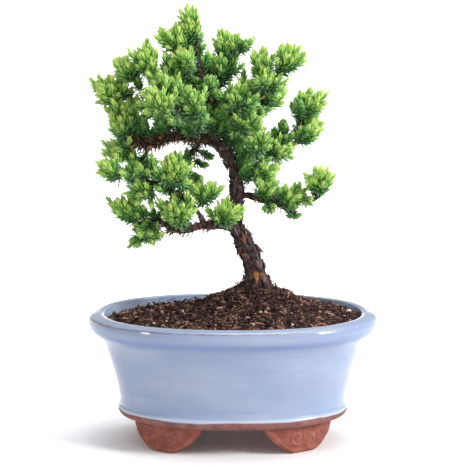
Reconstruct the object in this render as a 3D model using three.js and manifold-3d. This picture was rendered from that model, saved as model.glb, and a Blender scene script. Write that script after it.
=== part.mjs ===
// A juniper bonsai in a glazed oval pot, in millimetres, +Z up.
// The origin is the centre of the pot's footprint, on the surface that its feet stand on.
// -Y is the display side, and +X is to its right.

import * as THREE from "three";
import { mergeVertices } from "three/addons/utils/BufferGeometryUtils.js";
import Module from "manifold-3d";

const wasm = await Module();
wasm.setup();

// ---------------------------------------------------------------- driving sizes

const gap = 0.3; // left between any two pieces that touch

// pot
const rimHalfLength = 101;
const rimHalfDepth = 79;
const potHeight = 90;
const cornerFullness = 2.25; // 2 is an ellipse, more is squarer
const wall = 6;
const floorThickness = 6;
const lipWidth = 11.5; // from the lip's edge to the mouth
const lipFall = 2; // how far the lip's top slopes down to its edge
const lipDepth = 16; // from the rim plane to where the lip's underside meets the wall
const lipInset = 9.6; // how far that place is in from the lip's edge
const waistInset = 22; // the narrowest place, just above the foot bead
const waistRise = 10.5; // its height above the pot's underside
const beadInset = 20.2; // the rolled bead around the base
const beadRise = 5.5;
const undersideInset = 27.5;

// feet
const footHeight = 19;
const footMiddle = 50; // degrees from the long axis to the middle of a foot
const footTopReach = 24.5; // degrees each side of the middle
const footBottomReach = 8;
const footSetback = 1.5; // from the edge of the underside in to the foot's outer face
const footSlant = 2; // how much further in its bottom stands
const footThickness = 10;
const footSink = 2; // how far a foot runs up into the pot's underside

// drainage
const drainRadius = 6;
const drainSpacing = 64; // centre to centre
const screenSide = 26;
const screenThickness = 1.2;
const screenHole = 3.6;
const screenPitch = 5.2;
const screenRows = 4;

// soil
const soilBelowRim = 5;
const moundHeight = 23;
const moundSpread = 26;

// tree
const treeHeight = 210; // from the rim plane to the top
const trunkX = 17; // where the trunk stands
const drawnTreeHeight = 210; // the height that the points below are given at
const treeScale = treeHeight / drawnTreeHeight;

// ---------------------------------------------------------------- tree layout

// Each limb is a list of [x, y, height above the rim, radius]: x is measured from the trunk's foot.
const trunkRoute = [
  [0, 0, -14, 13], [0, 0, 6, 12], [0, 0, 16, 9.5], [-1, 0, 24, 7.8], [-3, -1, 34, 6.8],
  [-6, -2, 42, 6.2], [-9, -3, 49, 6.2], [-13, -3, 56, 5.2], [-15, -2, 63, 4.3], [-16, -1, 69, 3.9],
  [-15, 0, 78, 3.8], [-14, 0, 84, 3.7], [-15, 2, 91, 3.8], [-16, 3, 98, 3.9], [-19, 5, 105, 3.8],
  [-23, 6, 112, 3.8], [-29, 8, 117, 3.6], [-32, 8, 124, 3.2], [-32, 7, 134, 2.8], [-34, 5, 144, 2.4],
  [-36, 3, 155, 2.1], [-40, 0, 167, 1.7], [-42, -2, 180, 1.4], [-42, -2, 189, 1.1],
];

// Surface roots: [direction in degrees, reach, radius].
const roots = [[200, 24, 4.2], [262, 20, 3.6], [318, 25, 3.8], [25, 22, 3.6], [95, 22, 3.4], [150, 23, 3.2]];

const limbRoutes = {
  branch_left_main: [
    [-29, 8, 118, 3.2], [-36, 6, 122, 3.1], [-45, 3, 122, 3], [-53, 0, 122, 2.8], [-62, -3, 121, 2.6],
    [-69, -6, 118, 2.3], [-75, -9, 117, 2], [-83, -12, 118, 1.7], [-90, -14, 121, 1.4],
  ],
  branch_far_left: [
    [-45, 3, 122, 2.2], [-52, 8, 131, 1.9], [-63, 10, 139, 1.7], [-76, 9, 143, 1.5], [-89, 6, 147, 1.3],
    [-99, 2, 149, 1.1],
  ],
  branch_low_left: [
    [-14, -3, 58, 3.2], [-22, -8, 61, 3.1], [-30, -14, 62, 2.8], [-40, -18, 62, 2.6], [-50, -20, 59, 2.4],
    [-58, -22, 61, 2.1], [-68, -22, 66, 1.8], [-77, -20, 65, 1.5], [-84, -18, 59, 1.2],
  ],
  branch_low_left_up: [
    [-36, -16, 62, 2], [-43, -22, 75, 1.8], [-55, -28, 85, 1.6], [-67, -30, 91, 1.4], [-81, -30, 96, 1.2],
    [-94, -28, 100, 1],
  ],
  branch_low_right: [
    [-15, 0, 79, 2.4], [-7, 0, 81, 2.2], [-3, -2, 80, 2.1], [6, -3, 77, 1.9], [13, -4, 75, 1.6],
    [20, -5, 72, 1.3], [26, -6, 69, 1.1],
  ],
  branch_low_right_out: [
    [6, -3, 77, 1.5], [17, -5, 78, 1.4], [28, -8, 79, 1.3], [40, -10, 80, 1.2], [47, -12, 87, 1],
  ],
  branch_right_mid: [
    [-15, 3, 96, 2.6], [-5, 5, 105, 2.4], [5, 8, 110, 2.2], [16, 10, 114, 2], [24, 10, 120, 1.8],
    [28, 10, 129, 1.5], [31, 9, 139, 1.2],
  ],
  branch_upper_right: [
    [-31, 8, 121, 2.8], [-25, 8, 128, 2.6], [-18, 7, 135, 2.4], [-10, 5, 142, 2.2], [-1, 2, 149, 1.9],
    [7, -2, 156, 1.6], [16, -4, 165, 1.2],
  ],
  branch_upper_mid: [
    [-33, 6, 139, 2], [-28, 12, 152, 1.8], [-23, 16, 162, 1.6], [-18, 17, 173, 1.3], [-16, 16, 182, 1.1],
  ],
  branch_upper_left: [
    [-34, 5, 144, 2], [-42, -2, 150, 1.8], [-52, -7, 155, 1.7], [-63, -10, 161, 1.4], [-73, -12, 166, 1.2],
    [-81, -12, 170, 1],
  ],
  branch_front_left: [
    [-32, 7, 128, 2], [-40, -8, 134, 1.9], [-48, -22, 139, 1.7], [-57, -32, 144, 1.4], [-64, -36, 150, 1.1],
  ],
  branch_back: [
    [-30, 8, 119, 2.4], [-27, 21, 127, 2.1], [-20, 30, 133, 1.8], [-8, 34, 139, 1.5], [6, 36, 145, 1.2],
  ],
  branch_back_down: [
    [-38, 5, 121, 1.8], [-44, 14, 112, 1.6], [-50, 20, 102, 1.4], [-54, 22, 92, 1.2], [-56, 20, 84, 1],
  ],
};

// Limbs that leave another limb are cut back to it. The others leave the trunk.
const parentLimb = {
  branch_far_left: "branch_left_main",
  branch_low_left_up: "branch_low_left",
  branch_low_right_out: "branch_low_right",
  branch_back_down: "branch_left_main",
};

// Foliage pads: [x, y, height above the rim], [half size in x, y and z].
const pads = {
  foliage_apex_tip: [[-45, -4, 197], [11, 12, 13]],
  foliage_apex_left: [[-57, -8, 186], [10, 12, 13]],
  foliage_apex_low: [[-49, -12, 172], [13, 14, 12]],
  foliage_top_left_upper: [[-73, -12, 172], [14, 14, 11]],
  foliage_top_left_outer: [[-87, -10, 166], [8, 12, 9]],
  foliage_top_left_inner: [[-63, -20, 158], [13, 13, 9]],
  foliage_far_left_upper: [[-99, -4, 151], [18, 15, 11]],
  foliage_far_left_low: [[-88, -8, 137], [15, 14, 8]],
  foliage_front_left: [[-65, -36, 146], [15, 14, 12]],
  foliage_front_left_inner: [[-45, -24, 144], [12, 14, 14]],
  foliage_left_end_upper: [[-91, -14, 128], [14, 14, 7]],
  foliage_left_end_low: [[-91, -13, 114], [14, 13, 7]],
  foliage_left_below: [[-80, -5, 103], [14, 12, 7]],
  foliage_upper_mid_top: [[-22, 15, 182], [13, 12, 12]],
  foliage_upper_mid_low: [[-25, 14, 167], [13, 13, 13]],
  foliage_upper_right_tip: [[19, -6, 173], [14, 14, 11]],
  foliage_upper_right_crown: [[2, 0, 170], [13, 13, 11]],
  foliage_upper_right_mid: [[2, -6, 157], [17, 15, 10]],
  foliage_upper_right_low: [[-14, -8, 146], [15, 14, 10]],
  foliage_centre_right: [[-8, -6, 130], [14, 14, 9]],
  foliage_centre_back: [[-24, 30, 136], [16, 14, 13]],
  foliage_right_bud: [[0, -12, 118], [8, 10, 9]],
  foliage_right_loop_low: [[13, 5, 111], [17, 12, 7]],
  foliage_right_loop_mid: [[33, 8, 123], [11, 13, 12]],
  foliage_right_loop_top: [[34, 8, 141], [17, 13, 13]],
  foliage_right_under: [[2, 1, 96], [16, 12, 8]],
  foliage_right_low_inner: [[3, -2, 84], [13, 11, 7]],
  foliage_right_low_mid: [[21, -7, 78], [12, 10, 11]],
  foliage_right_low_tip: [[41, -12, 90], [14, 12, 13]],
  foliage_low_left_tip: [[-96, -28, 100], [12, 11, 9]],
  foliage_low_left_crown: [[-56, -33, 100], [14, 14, 12]],
  foliage_low_left_mid: [[-74, -30, 88], [14, 13, 8]],
  foliage_low_left_inner: [[-36, -15, 83], [13, 14, 11]],
  foliage_low_left_front: [[-53, -29, 72], [15, 13, 13]],
  foliage_low_left_outer: [[-88, -24, 73], [13, 14, 13]],
  foliage_low_left_bottom: [[-75, -19, 57], [14, 13, 10]],
  foliage_trunk_shoots: [[-23, -15, 68], [14, 11, 12]],
  foliage_back_drop: [[-52, 22, 98], [9, 11, 12]],
  foliage_back_top: [[-40, 25, 165], [14, 12, 12]],
  foliage_back_left: [[-63, 31, 144], [15, 14, 10]],
  foliage_back_right: [[6, 36, 146], [15, 14, 11]],
  foliage_back_low_right: [[9, 32, 110], [14, 13, 8]],
};

// ---------------------------------------------------------------- materials

const glaze = { color: 0xb4c4e2, roughness: 0.16, metalness: 0 };
const peat = { color: 0x35221a, roughness: 0.95, metalness: 0 };
const bark = { color: 0x4a322b, roughness: 0.85, metalness: 0 };
const needles = { color: 0x5fb03c, roughness: 0.6, metalness: 0 };
const blackMesh = { color: 0x202224, roughness: 0.6, metalness: 0 };

// ---------------------------------------------------------------- solids

function solidOf(geometry) {
  const bare = geometry.clone();
  bare.deleteAttribute("normal");
  bare.deleteAttribute("uv");
  const merged = mergeVertices(bare, 1e-4);
  const vertProperties = new Float32Array(merged.attributes.position.array);
  const triVerts = new Uint32Array(merged.index.array);
  const solid = new wasm.Manifold(new wasm.Mesh({ numProp: 3, vertProperties, triVerts }));
  if (solid.volume() < 0) throw new Error("a solid's faces point inwards");
  return solid;
}

function geometryOf(solid) {
  const mesh = solid.getMesh();
  const geometry = new THREE.BufferGeometry();
  geometry.setAttribute("position", new THREE.BufferAttribute(mesh.vertProperties, 3));
  geometry.setIndex(new THREE.BufferAttribute(mesh.triVerts, 1));
  geometry.computeVertexNormals();
  return geometry;
}

// A point on the pot's oval plan. Its depth keeps the rim's proportion to its length.
function onOval(halfLength, angle) {
  const halfDepth = (halfLength * rimHalfDepth) / rimHalfLength;
  const bend = 2 / cornerFullness;
  const c = Math.cos(angle);
  const s = Math.sin(angle);
  return [
    halfLength * Math.sign(c) * Math.abs(c) ** bend,
    halfDepth * Math.sign(s) * Math.abs(s) ** bend,
  ];
}

// A profile of [half length, height] points that starts and ends on the axis, swept round the oval.
function ovalTurning(profile, segments) {
  const points = profile.map(([r, z]) => new THREE.Vector2(r, z));
  const geometry = new THREE.LatheGeometry(points, segments);
  geometry.rotateX(Math.PI / 2);
  const place = geometry.attributes.position;
  for (let i = 0; i < place.count; i++) {
    const radius = Math.hypot(place.getX(i), place.getY(i));
    if (radius < 1e-6) continue;
    const [x, y] = onOval(radius, Math.atan2(place.getY(i), place.getX(i)));
    place.setXYZ(i, x, y, place.getZ(i));
  }
  return geometry;
}

// A closed slab between two grids of points: front(u, v) and back(u, v), with u and v from 0 to 1.
// Seen from in front, v turns anticlockwise from u.
function slab(front, back, columns, rows) {
  const positions = [];
  for (const side of [front, back])
    for (let j = 0; j <= rows; j++)
      for (let i = 0; i <= columns; i++) positions.push(...side(i / columns, j / rows));
  const width = columns + 1;
  const sheet = width * (rows + 1);
  const index = [];
  const quad = (a, b, c, d) => index.push(a, b, c, a, c, d);
  for (let j = 0; j < rows; j++)
    for (let i = 0; i < columns; i++) {
      const a = j * width + i;
      quad(a, a + 1, a + 1 + width, a + width);
      quad(sheet + a, sheet + a + width, sheet + a + 1 + width, sheet + a + 1);
    }
  const edge = (a, b) => quad(b, a, a + sheet, b + sheet);
  for (let i = 0; i < columns; i++) {
    edge(i, i + 1);
    edge(rows * width + i + 1, rows * width + i);
  }
  for (let j = 0; j < rows; j++) {
    edge((j + 1) * width, j * width);
    edge(j * width + columns, (j + 1) * width + columns);
  }
  const geometry = new THREE.BufferGeometry();
  geometry.setAttribute("position", new THREE.Float32BufferAttribute(positions, 3));
  geometry.setIndex(index);
  return geometry;
}

// A closed tapering tube along [x, y, z, radius] points, each radius grown by the same amount.
function limb(route, sides, stepsPerSpan, grow = 0) {
  const curve = new THREE.CatmullRomCurve3(route.map(([x, y, z]) => new THREE.Vector3(x, y, z)));
  const spans = route.length - 1;
  const steps = spans * stepsPerSpan;
  const radiusAt = (t) => {
    const span = Math.min(Math.floor(t * spans), spans - 1);
    return THREE.MathUtils.lerp(route[span][3], route[span + 1][3], t * spans - span) + grow;
  };
  const positions = [];
  const index = [];
  const across = new THREE.Vector3(0, 1, 0.01);
  for (let k = 0; k <= steps; k++) {
    const t = k / steps;
    const along = curve.getTangent(t);
    const centre = curve.getPoint(t);
    if (k === 0) centre.addScaledVector(along, -grow);
    if (k === steps) centre.addScaledVector(along, grow);
    across.addScaledVector(along, -across.dot(along)).normalize();
    const up = new THREE.Vector3().crossVectors(along, across);
    for (let i = 0; i < sides; i++) {
      const turn = (2 * Math.PI * i) / sides;
      const point = centre.clone();
      point.addScaledVector(across, radiusAt(t) * Math.cos(turn));
      point.addScaledVector(up, radiusAt(t) * Math.sin(turn));
      positions.push(point.x, point.y, point.z);
    }
  }
  for (let k = 0; k < steps; k++)
    for (let i = 0; i < sides; i++) {
      const a = k * sides + i;
      const b = k * sides + ((i + 1) % sides);
      index.push(a, b, b + sides, a, b + sides, a + sides);
    }
  for (let i = 1; i < sides - 1; i++) {
    index.push(0, i + 1, i);
    index.push(steps * sides, steps * sides + i, steps * sides + i + 1);
  }
  const geometry = new THREE.BufferGeometry();
  geometry.setAttribute("position", new THREE.Float32BufferAttribute(positions, 3));
  geometry.setIndex(index);
  return solidOf(geometry);
}

// ---------------------------------------------------------------- pot

const underside = footHeight;
const innerFloor = underside + floorThickness;
const lipUnder = potHeight - lipDepth;

const outerWall = [
  [0, underside],
  [rimHalfLength - undersideInset, underside],
  [rimHalfLength - beadInset - 1.6, underside + 0.2 * beadRise],
  [rimHalfLength - beadInset, underside + 0.75 * beadRise],
  [rimHalfLength - beadInset - 0.2, underside + 1.2 * beadRise],
  [rimHalfLength - waistInset, underside + waistRise],
];
const wallRise = lipUnder - (underside + waistRise);
const wallSpread = waistInset - lipInset;
const wallCurve = 1.35; // the wall flares more as it rises
const wallAt = (share) => [
  rimHalfLength - waistInset + wallSpread * share ** wallCurve,
  underside + waistRise + wallRise * share,
];
const wallShares = [0.2, 0.4, 0.6, 0.8, 1];
const mouthHalf = rimHalfLength - lipWidth;
const mouthRound = 1; // the mouth's edge is eased by this much
const lipProfile = [
  [rimHalfLength - 0.68 * lipInset, potHeight - 0.89 * lipDepth],
  [rimHalfLength - 0.2 * lipInset, potHeight - 0.65 * lipDepth],
  [rimHalfLength, potHeight - 0.31 * lipDepth],
  [rimHalfLength - 0.1 * lipInset, potHeight - lipFall],
  [rimHalfLength - 0.45 * lipWidth, potHeight - lipFall / 3],
  [mouthHalf + mouthRound, potHeight],
];
const innerWall = [
  [mouthHalf, potHeight - mouthRound],
  [mouthHalf - 0.25 * wall, potHeight - 0.44 * lipDepth],
  ...[...wallShares].reverse().map((share) => {
    const [r, z] = wallAt(share);
    return [r - wall, z];
  }),
  [rimHalfLength - waistInset - 1.25 * wall, innerFloor + 0.4 * wall],
  [rimHalfLength - waistInset - 1.8 * wall, innerFloor],
  [0, innerFloor],
];

function footSolid(signX, signY) {
  const topHalf = rimHalfLength - undersideInset - footSetback;
  const spread = 0.6;
  const radians = THREE.MathUtils.degToRad;
  const place = (inset) => (u, v) => {
    const share = Math.min(v * (1 + footSink / footHeight), 1);
    const reach = footBottomReach + (footTopReach - footBottomReach) * share ** spread;
    const angle = radians(footMiddle + reach * (2 * u - 1));
    const halfLength = topHalf - footSlant * (1 - share) ** 2 - inset;
    const [x, y] = onOval(halfLength, angle);
    return [signX * x, signY * y, v * (footHeight + footSink)];
  };
  const outside = place(0);
  const inside = place(footThickness);
  const mirrored = signX * signY < 0;
  return solidOf(mirrored ? slab(inside, outside, 7, 6) : slab(outside, inside, 7, 6));
}

function drainSolid(x) {
  const hole = new THREE.CylinderGeometry(drainRadius, drainRadius, floorThickness * 3, 20);
  hole.rotateX(Math.PI / 2);
  hole.translate(x, 0, underside + floorThickness / 2);
  return solidOf(hole);
}

const drainPlaces = [-drainSpacing / 2, drainSpacing / 2];
const potSegments = 44;

function potSolid() {
  const wallPoints = wallShares.map(wallAt);
  const profile = [...outerWall, ...wallPoints, ...lipProfile, ...innerWall];
  let pot = solidOf(ovalTurning(profile, potSegments));
  for (const signX of [-1, 1])
    for (const signY of [-1, 1]) pot = pot.add(footSolid(signX, signY));
  for (const x of drainPlaces) pot = pot.subtract(drainSolid(x));
  return pot;
}

// ---------------------------------------------------------------- drain screens

function boxSolid(width, depth, height, x, y, z) {
  const box = new THREE.BoxGeometry(width, depth, height);
  box.translate(x, y, z);
  return solidOf(box);
}

function screenSolid(x) {
  const z = innerFloor + gap + screenThickness / 2;
  const middle = (screenRows - 1) / 2;
  let screen = boxSolid(screenSide, screenSide, screenThickness, x, 0, z);
  for (let i = 0; i < screenRows; i++)
    for (let j = 0; j < screenRows; j++) {
      const holeX = x + (i - middle) * screenPitch;
      const holeY = (j - middle) * screenPitch;
      screen = screen.subtract(boxSolid(screenHole, screenHole, screenThickness * 3, holeX, holeY, z));
    }
  return screen;
}

// ---------------------------------------------------------------- tree

const place = ([x, y, z]) => [trunkX + x * treeScale, y * treeScale, potHeight + z * treeScale];
const placeRoute = (route) => route.map((point) => [...place(point), point[3]]);

function trunkSolid(grow = 0) {
  let trunk = limb(placeRoute(trunkRoute), 10, 2, grow);
  for (const [degrees, reach, radius] of roots) {
    const angle = THREE.MathUtils.degToRad(degrees);
    const out = (distance, height, r) => [
      trunkX + distance * Math.cos(angle),
      distance * Math.sin(angle),
      potHeight + height,
      r,
    ];
    const route = [out(2, 10, radius + 1), out(reach / 2, 7.5, radius), out(reach, -1, radius * 0.6)];
    trunk = trunk.add(limb(route, 6, 2, grow));
  }
  return trunk;
}

const limbSides = 6;
const limbSteps = 2; // between two points of a route

function buildTree() {
  const trunk = trunkSolid();
  const grownTrunk = trunkSolid(gap);
  const limbs = {};
  const grownLimbs = {};
  for (const [name, route] of Object.entries(limbRoutes)) {
    const placed = placeRoute(route);
    let solid = limb(placed, limbSides, limbSteps).subtract(grownTrunk);
    const parent = parentLimb[name];
    if (parent) solid = solid.subtract(grownLimbs[parent]);
    for (const other of Object.keys(limbs))
      if (other !== parent) solid = solid.subtract(grownLimbs[other]);
    limbs[name] = solid;
    grownLimbs[name] = limb(placed, limbSides, limbSteps, gap);
  }
  return { trunk, grownTrunk, limbs, grownLimbs };
}

// ---------------------------------------------------------------- soil

const moundAt = (x, y) => {
  const distance = Math.hypot(x - trunkX, y);
  return moundHeight * Math.exp(-((distance / moundSpread) ** 2) / 2);
};

// Half the length of the pot's hollow at a height, from its inner profile.
function hollowHalfAt(height) {
  for (let i = 1; i < innerWall.length; i++) {
    const [upperHalf, upper] = innerWall[i - 1];
    const [lowerHalf, lower] = innerWall[i];
    if (height > upper || height < lower) continue;
    return THREE.MathUtils.mapLinear(height, lower, upper, lowerHalf, upperHalf);
  }
  return mouthHalf;
}

function soilSolid(grownTrunk) {
  const soilTop = potHeight - soilBelowRim;
  const bottom = innerFloor + gap;
  const coverShares = [0.8, 0.6, 0.4, 0.2];
  const edge = [hollowHalfAt(soilTop) - gap, soilTop];
  const side = innerWall
    .filter(([r, z]) => r > 0 && z < soilTop - 1 && z > innerFloor + 1)
    .map(([r, z]) => [r - gap, z]);
  const floorHalf = innerWall[innerWall.length - 2][0] - gap;
  const cover = coverShares.map((share) => [edge[0] * share, soilTop]);
  const profile = [[0, bottom], [floorHalf, bottom], ...side.reverse(), edge, ...cover, [0, soilTop]];
  const geometry = ovalTurning(profile, potSegments);
  const place = geometry.attributes.position;
  for (let i = 0; i < place.count; i++) {
    if (place.getZ(i) < soilTop - 0.01) continue;
    place.setZ(i, soilTop + moundAt(place.getX(i), place.getY(i)));
  }
  let soil = solidOf(geometry).subtract(grownTrunk);
  for (const x of drainPlaces) {
    const side = screenSide + 2 * gap;
    const pocketHeight = screenThickness + 2 * gap;
    const pocketZ = innerFloor + gap + screenThickness / 2;
    soil = soil.subtract(boxSolid(side, side, pocketHeight, x, 0, pocketZ));
  }
  return soil;
}

// ---------------------------------------------------------------- foliage

// A pad is a low dome: its underside is flatter than its top.
const underFlattening = 0.75;

function padSolid([centre, half], grow = 0) {
  const [x, y, z] = place(centre);
  const geometry = new THREE.SphereGeometry(1, 10, 6);
  geometry.rotateX(Math.PI / 2);
  geometry.scale(...half.map((size) => size * treeScale + grow));
  const points = geometry.attributes.position;
  for (let i = 0; i < points.count; i++)
    if (points.getZ(i) < 0) points.setZ(i, points.getZ(i) * underFlattening);
  geometry.translate(x, y, z);
  return solidOf(geometry);
}

function overlaps(a, b) {
  const p = a.boundingBox();
  const q = b.boundingBox();
  return [0, 1, 2].every((i) => p.min[i] < q.max[i] && q.min[i] < p.max[i]);
}

function foliageSolids(tree) {
  const cutters = [tree.grownTrunk, ...Object.values(tree.grownLimbs)];
  const made = {};
  for (const [name, pad] of Object.entries(pads)) {
    let solid = padSolid(pad);
    for (const cutter of cutters) if (overlaps(solid, cutter)) solid = solid.subtract(cutter);
    made[name] = solid;
    cutters.push(padSolid(pad, gap));
  }
  return made;
}

// ---------------------------------------------------------------- assembly

const bonsai = new THREE.Group();

function addPiece(name, geometry, look) {
  const mesh = new THREE.Mesh(geometry, new THREE.MeshStandardMaterial(look));
  mesh.name = name;
  bonsai.add(mesh);
}

const tree = buildTree();

addPiece("pot", geometryOf(potSolid()), glaze);
addPiece("drain_screen_left", geometryOf(screenSolid(drainPlaces[0])), blackMesh);
addPiece("drain_screen_right", geometryOf(screenSolid(drainPlaces[1])), blackMesh);
addPiece("soil", geometryOf(soilSolid(tree.grownTrunk)), peat);
addPiece("trunk", geometryOf(tree.trunk), bark);
for (const [name, solid] of Object.entries(tree.limbs)) addPiece(name, geometryOf(solid), bark);
for (const [name, solid] of Object.entries(foliageSolids(tree)))
  addPiece(name, geometryOf(solid), needles);

export default bonsai;
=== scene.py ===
"""The looks of a juniper bonsai in a glazed oval pot.

Shapes are worked out in millimetres and turned into metres when a piece is made. +Z is up, -Y is the
display side and +X is to its right. The pot's, soil's and pads' sizes come from the frame. The limbs'
routes are the same ones that the CAD model is made along.
"""

import math

import bpy
import numpy as np
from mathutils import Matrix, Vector
from mathutils.geometry import delaunay_2d_cdt


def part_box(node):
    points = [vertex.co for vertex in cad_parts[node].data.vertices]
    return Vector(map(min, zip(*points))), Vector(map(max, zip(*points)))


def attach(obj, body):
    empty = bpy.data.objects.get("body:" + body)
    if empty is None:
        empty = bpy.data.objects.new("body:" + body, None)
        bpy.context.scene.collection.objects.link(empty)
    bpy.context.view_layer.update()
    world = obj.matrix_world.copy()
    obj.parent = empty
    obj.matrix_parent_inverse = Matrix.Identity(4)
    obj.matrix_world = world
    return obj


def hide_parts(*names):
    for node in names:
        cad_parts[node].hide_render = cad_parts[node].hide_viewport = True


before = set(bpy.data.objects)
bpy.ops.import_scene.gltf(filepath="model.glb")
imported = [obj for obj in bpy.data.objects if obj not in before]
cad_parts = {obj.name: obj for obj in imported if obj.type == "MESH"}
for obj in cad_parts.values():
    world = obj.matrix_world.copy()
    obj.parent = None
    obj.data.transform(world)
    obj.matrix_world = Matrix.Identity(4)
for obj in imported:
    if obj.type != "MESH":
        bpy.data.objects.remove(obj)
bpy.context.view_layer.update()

MM = 0.001
UP = np.array([0.0, 0.0, 1.0])
BODY = "root"
BAKE_MAP = "OFBake"  # each piece carries a map of this name for baking, the same as its tint map
TINT_MAP = "tint"  # where a material reads a face's place between its colours


def node_box(name):
    """A CAD node's lowest and highest corner, in millimetres."""
    low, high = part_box(name)
    return np.array(low) / MM, np.array(high) / MM


# ---------------------------------------------------------------- numbers and noise


def smoothstep(low, high, value):
    share = np.clip((value - low) / (high - low), 0, 1)
    return share * share * (3 - 2 * share)


def bell(value, middle, width):
    """1 at the middle, falling to nearly 0 two widths away."""
    return np.exp(-(((value - middle) / width) ** 2))


def circle(count):
    """Angles evenly round a circle."""
    return np.arange(count) / count * 2 * math.pi


def unit(vectors):
    return vectors / np.maximum(np.linalg.norm(vectors, axis=-1, keepdims=True), 1e-9)


def dot(a, b):
    return np.sum(a * b, axis=-1, keepdims=True)


def hashed(cells, seed):
    """A number from -1 to 1 for each whole [x, y, z]."""
    n = cells.astype(np.uint64)
    with np.errstate(over="ignore"):
        mix = n[..., 0] * np.uint64(73856093)
        mix ^= n[..., 1] * np.uint64(19349663)
        mix ^= n[..., 2] * np.uint64(83492791)
        mix ^= np.uint64(seed * 2654435761 + 97)
        mix = (mix ^ (mix >> np.uint64(13))) * np.uint64(1274126177)
        mix ^= mix >> np.uint64(16)
    return (mix & np.uint64(0xFFFFFF)).astype(float) / 0x7FFFFF - 1


def noise(points, seed=0):
    """Smooth noise from -1 to 1 at each [x, y, z]."""
    cell = np.floor(points)
    part = points - cell
    fade = part * part * (3 - 2 * part)
    total = 0
    for corner in np.ndindex(2, 2, 2):
        weight = np.prod(np.where(corner, fade, 1 - fade), axis=-1)
        total = total + weight * hashed((cell + corner).astype(np.int64), seed)
    return total


def rough(points, octaves, seed):
    """Noise with finer noise on it, each octave half as strong."""
    return sum(0.5**k * noise(points * 2.03**k, seed + k) for k in range(octaves))


# ---------------------------------------------------------------- mesh building

LID_MIDDLE = 0.03  # where lids lie on the map, both ways
LID_RADIUS = 0.02
LID_SCALE = 2e-4  # map units for each millimetre of a lid with holes


def chunk(verts, faces, uv=None, look=0):
    """Triangles with a texture place for each face corner and a material index for each face."""
    if uv is None:
        uv = np.full((len(faces), 3, 2), 0.5)
    return {"verts": verts, "faces": faces, "uv": uv, "looks": np.full(len(faces), look)}


def joined(chunks):
    shift = np.cumsum([0] + [len(c["verts"]) for c in chunks[:-1]])
    whole = {key: np.concatenate([c[key] for c in chunks]) for key in ("verts", "uv", "looks")}
    whole["faces"] = np.concatenate([c["faces"] + s for c, s in zip(chunks, shift)])
    return whole


def grown(sheet, verts, faces, uv):
    """A sheet with more vertices, and more faces that join any of its vertices, old and new."""
    added = chunk(verts, faces, uv, sheet["looks"][0])
    return {key: np.concatenate([sheet[key], added[key]]) for key in sheet}


def grid(points, wrap=True, look=0, uv_box=(0, 0, 1, 1)):
    """A sheet through rows and columns of points. A wrapped one closes its last column on its first."""
    rows, columns = points.shape[:2]
    spans = columns if wrap else columns - 1
    i, j = (a.ravel() for a in np.meshgrid(np.arange(rows - 1), np.arange(spans), indexing="ij"))
    a, b = i * columns + j, i * columns + (j + 1) % columns
    c, d = b + columns, a + columns
    faces = np.stack([a, b, c, a, c, d], 1).reshape(-1, 3)
    u_low, v_low, u_high, v_high = uv_box
    u = u_low + np.stack([j, j + 1, j + 1, j, j + 1, j], 1) / spans * (u_high - u_low)
    v = v_low + np.stack([i, i, i + 1, i, i + 1, i + 1], 1) / (rows - 1) * (v_high - v_low)
    uv = np.stack([u, v], 2).reshape(-1, 3, 2)
    return chunk(points.reshape(-1, 3), faces, uv, look)


def lid(sheet, ring, flip, tip=None):
    """Closes a ring of vertices of a sheet with a fan to its middle."""
    verts = sheet["verts"]
    middle = verts[ring].mean(axis=0) if tip is None else tip
    following = np.roll(ring, -1)
    centre = np.full(len(ring), len(verts))
    faces = np.stack([following, ring, centre] if flip else [ring, following, centre], 1)
    turn = circle(len(ring))
    rim = np.stack([np.cos(turn), np.sin(turn)], 1) * LID_RADIUS + LID_MIDDLE
    uv = np.stack([rim, np.roll(rim, -1, 0), np.full_like(rim, LID_MIDDLE)], 1)
    return grown(sheet, middle[None], faces, uv)


def holed_lid(sheet, ring, holes, flip):
    """Closes a flat ring of a sheet, all but the holes in it, which are loops of points in its plane."""
    loops = [sheet["verts"][ring], *holes]
    sizes = [len(loop) for loop in loops]
    starts = np.cumsum([0, *sizes])
    edges = [(a + i, a + (i + 1) % n) for a, n in zip(starts, sizes) for i in range(n)]
    corners = np.concatenate(loops)
    _, _, found, source, _, _ = delaunay_2d_cdt([Vector(c[:2]) for c in corners], edges, [], 1, 1e-6)
    faces = np.array([[source[corner][0] for corner in face] for face in found])
    owner = np.repeat(np.arange(len(loops)), sizes)[faces]
    in_hole = (owner == owner[:, :1]).all(axis=1) & (owner[:, 0] > 0)
    faces = faces[~in_hole][:, ::-1 if flip else 1]
    uv = LID_MIDDLE + corners[faces][..., :2] * LID_SCALE
    index = np.concatenate([ring, len(sheet["verts"]) + np.arange(sum(sizes[1:]))])
    return grown(sheet, np.concatenate(holes), index[faces], uv)


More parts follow.
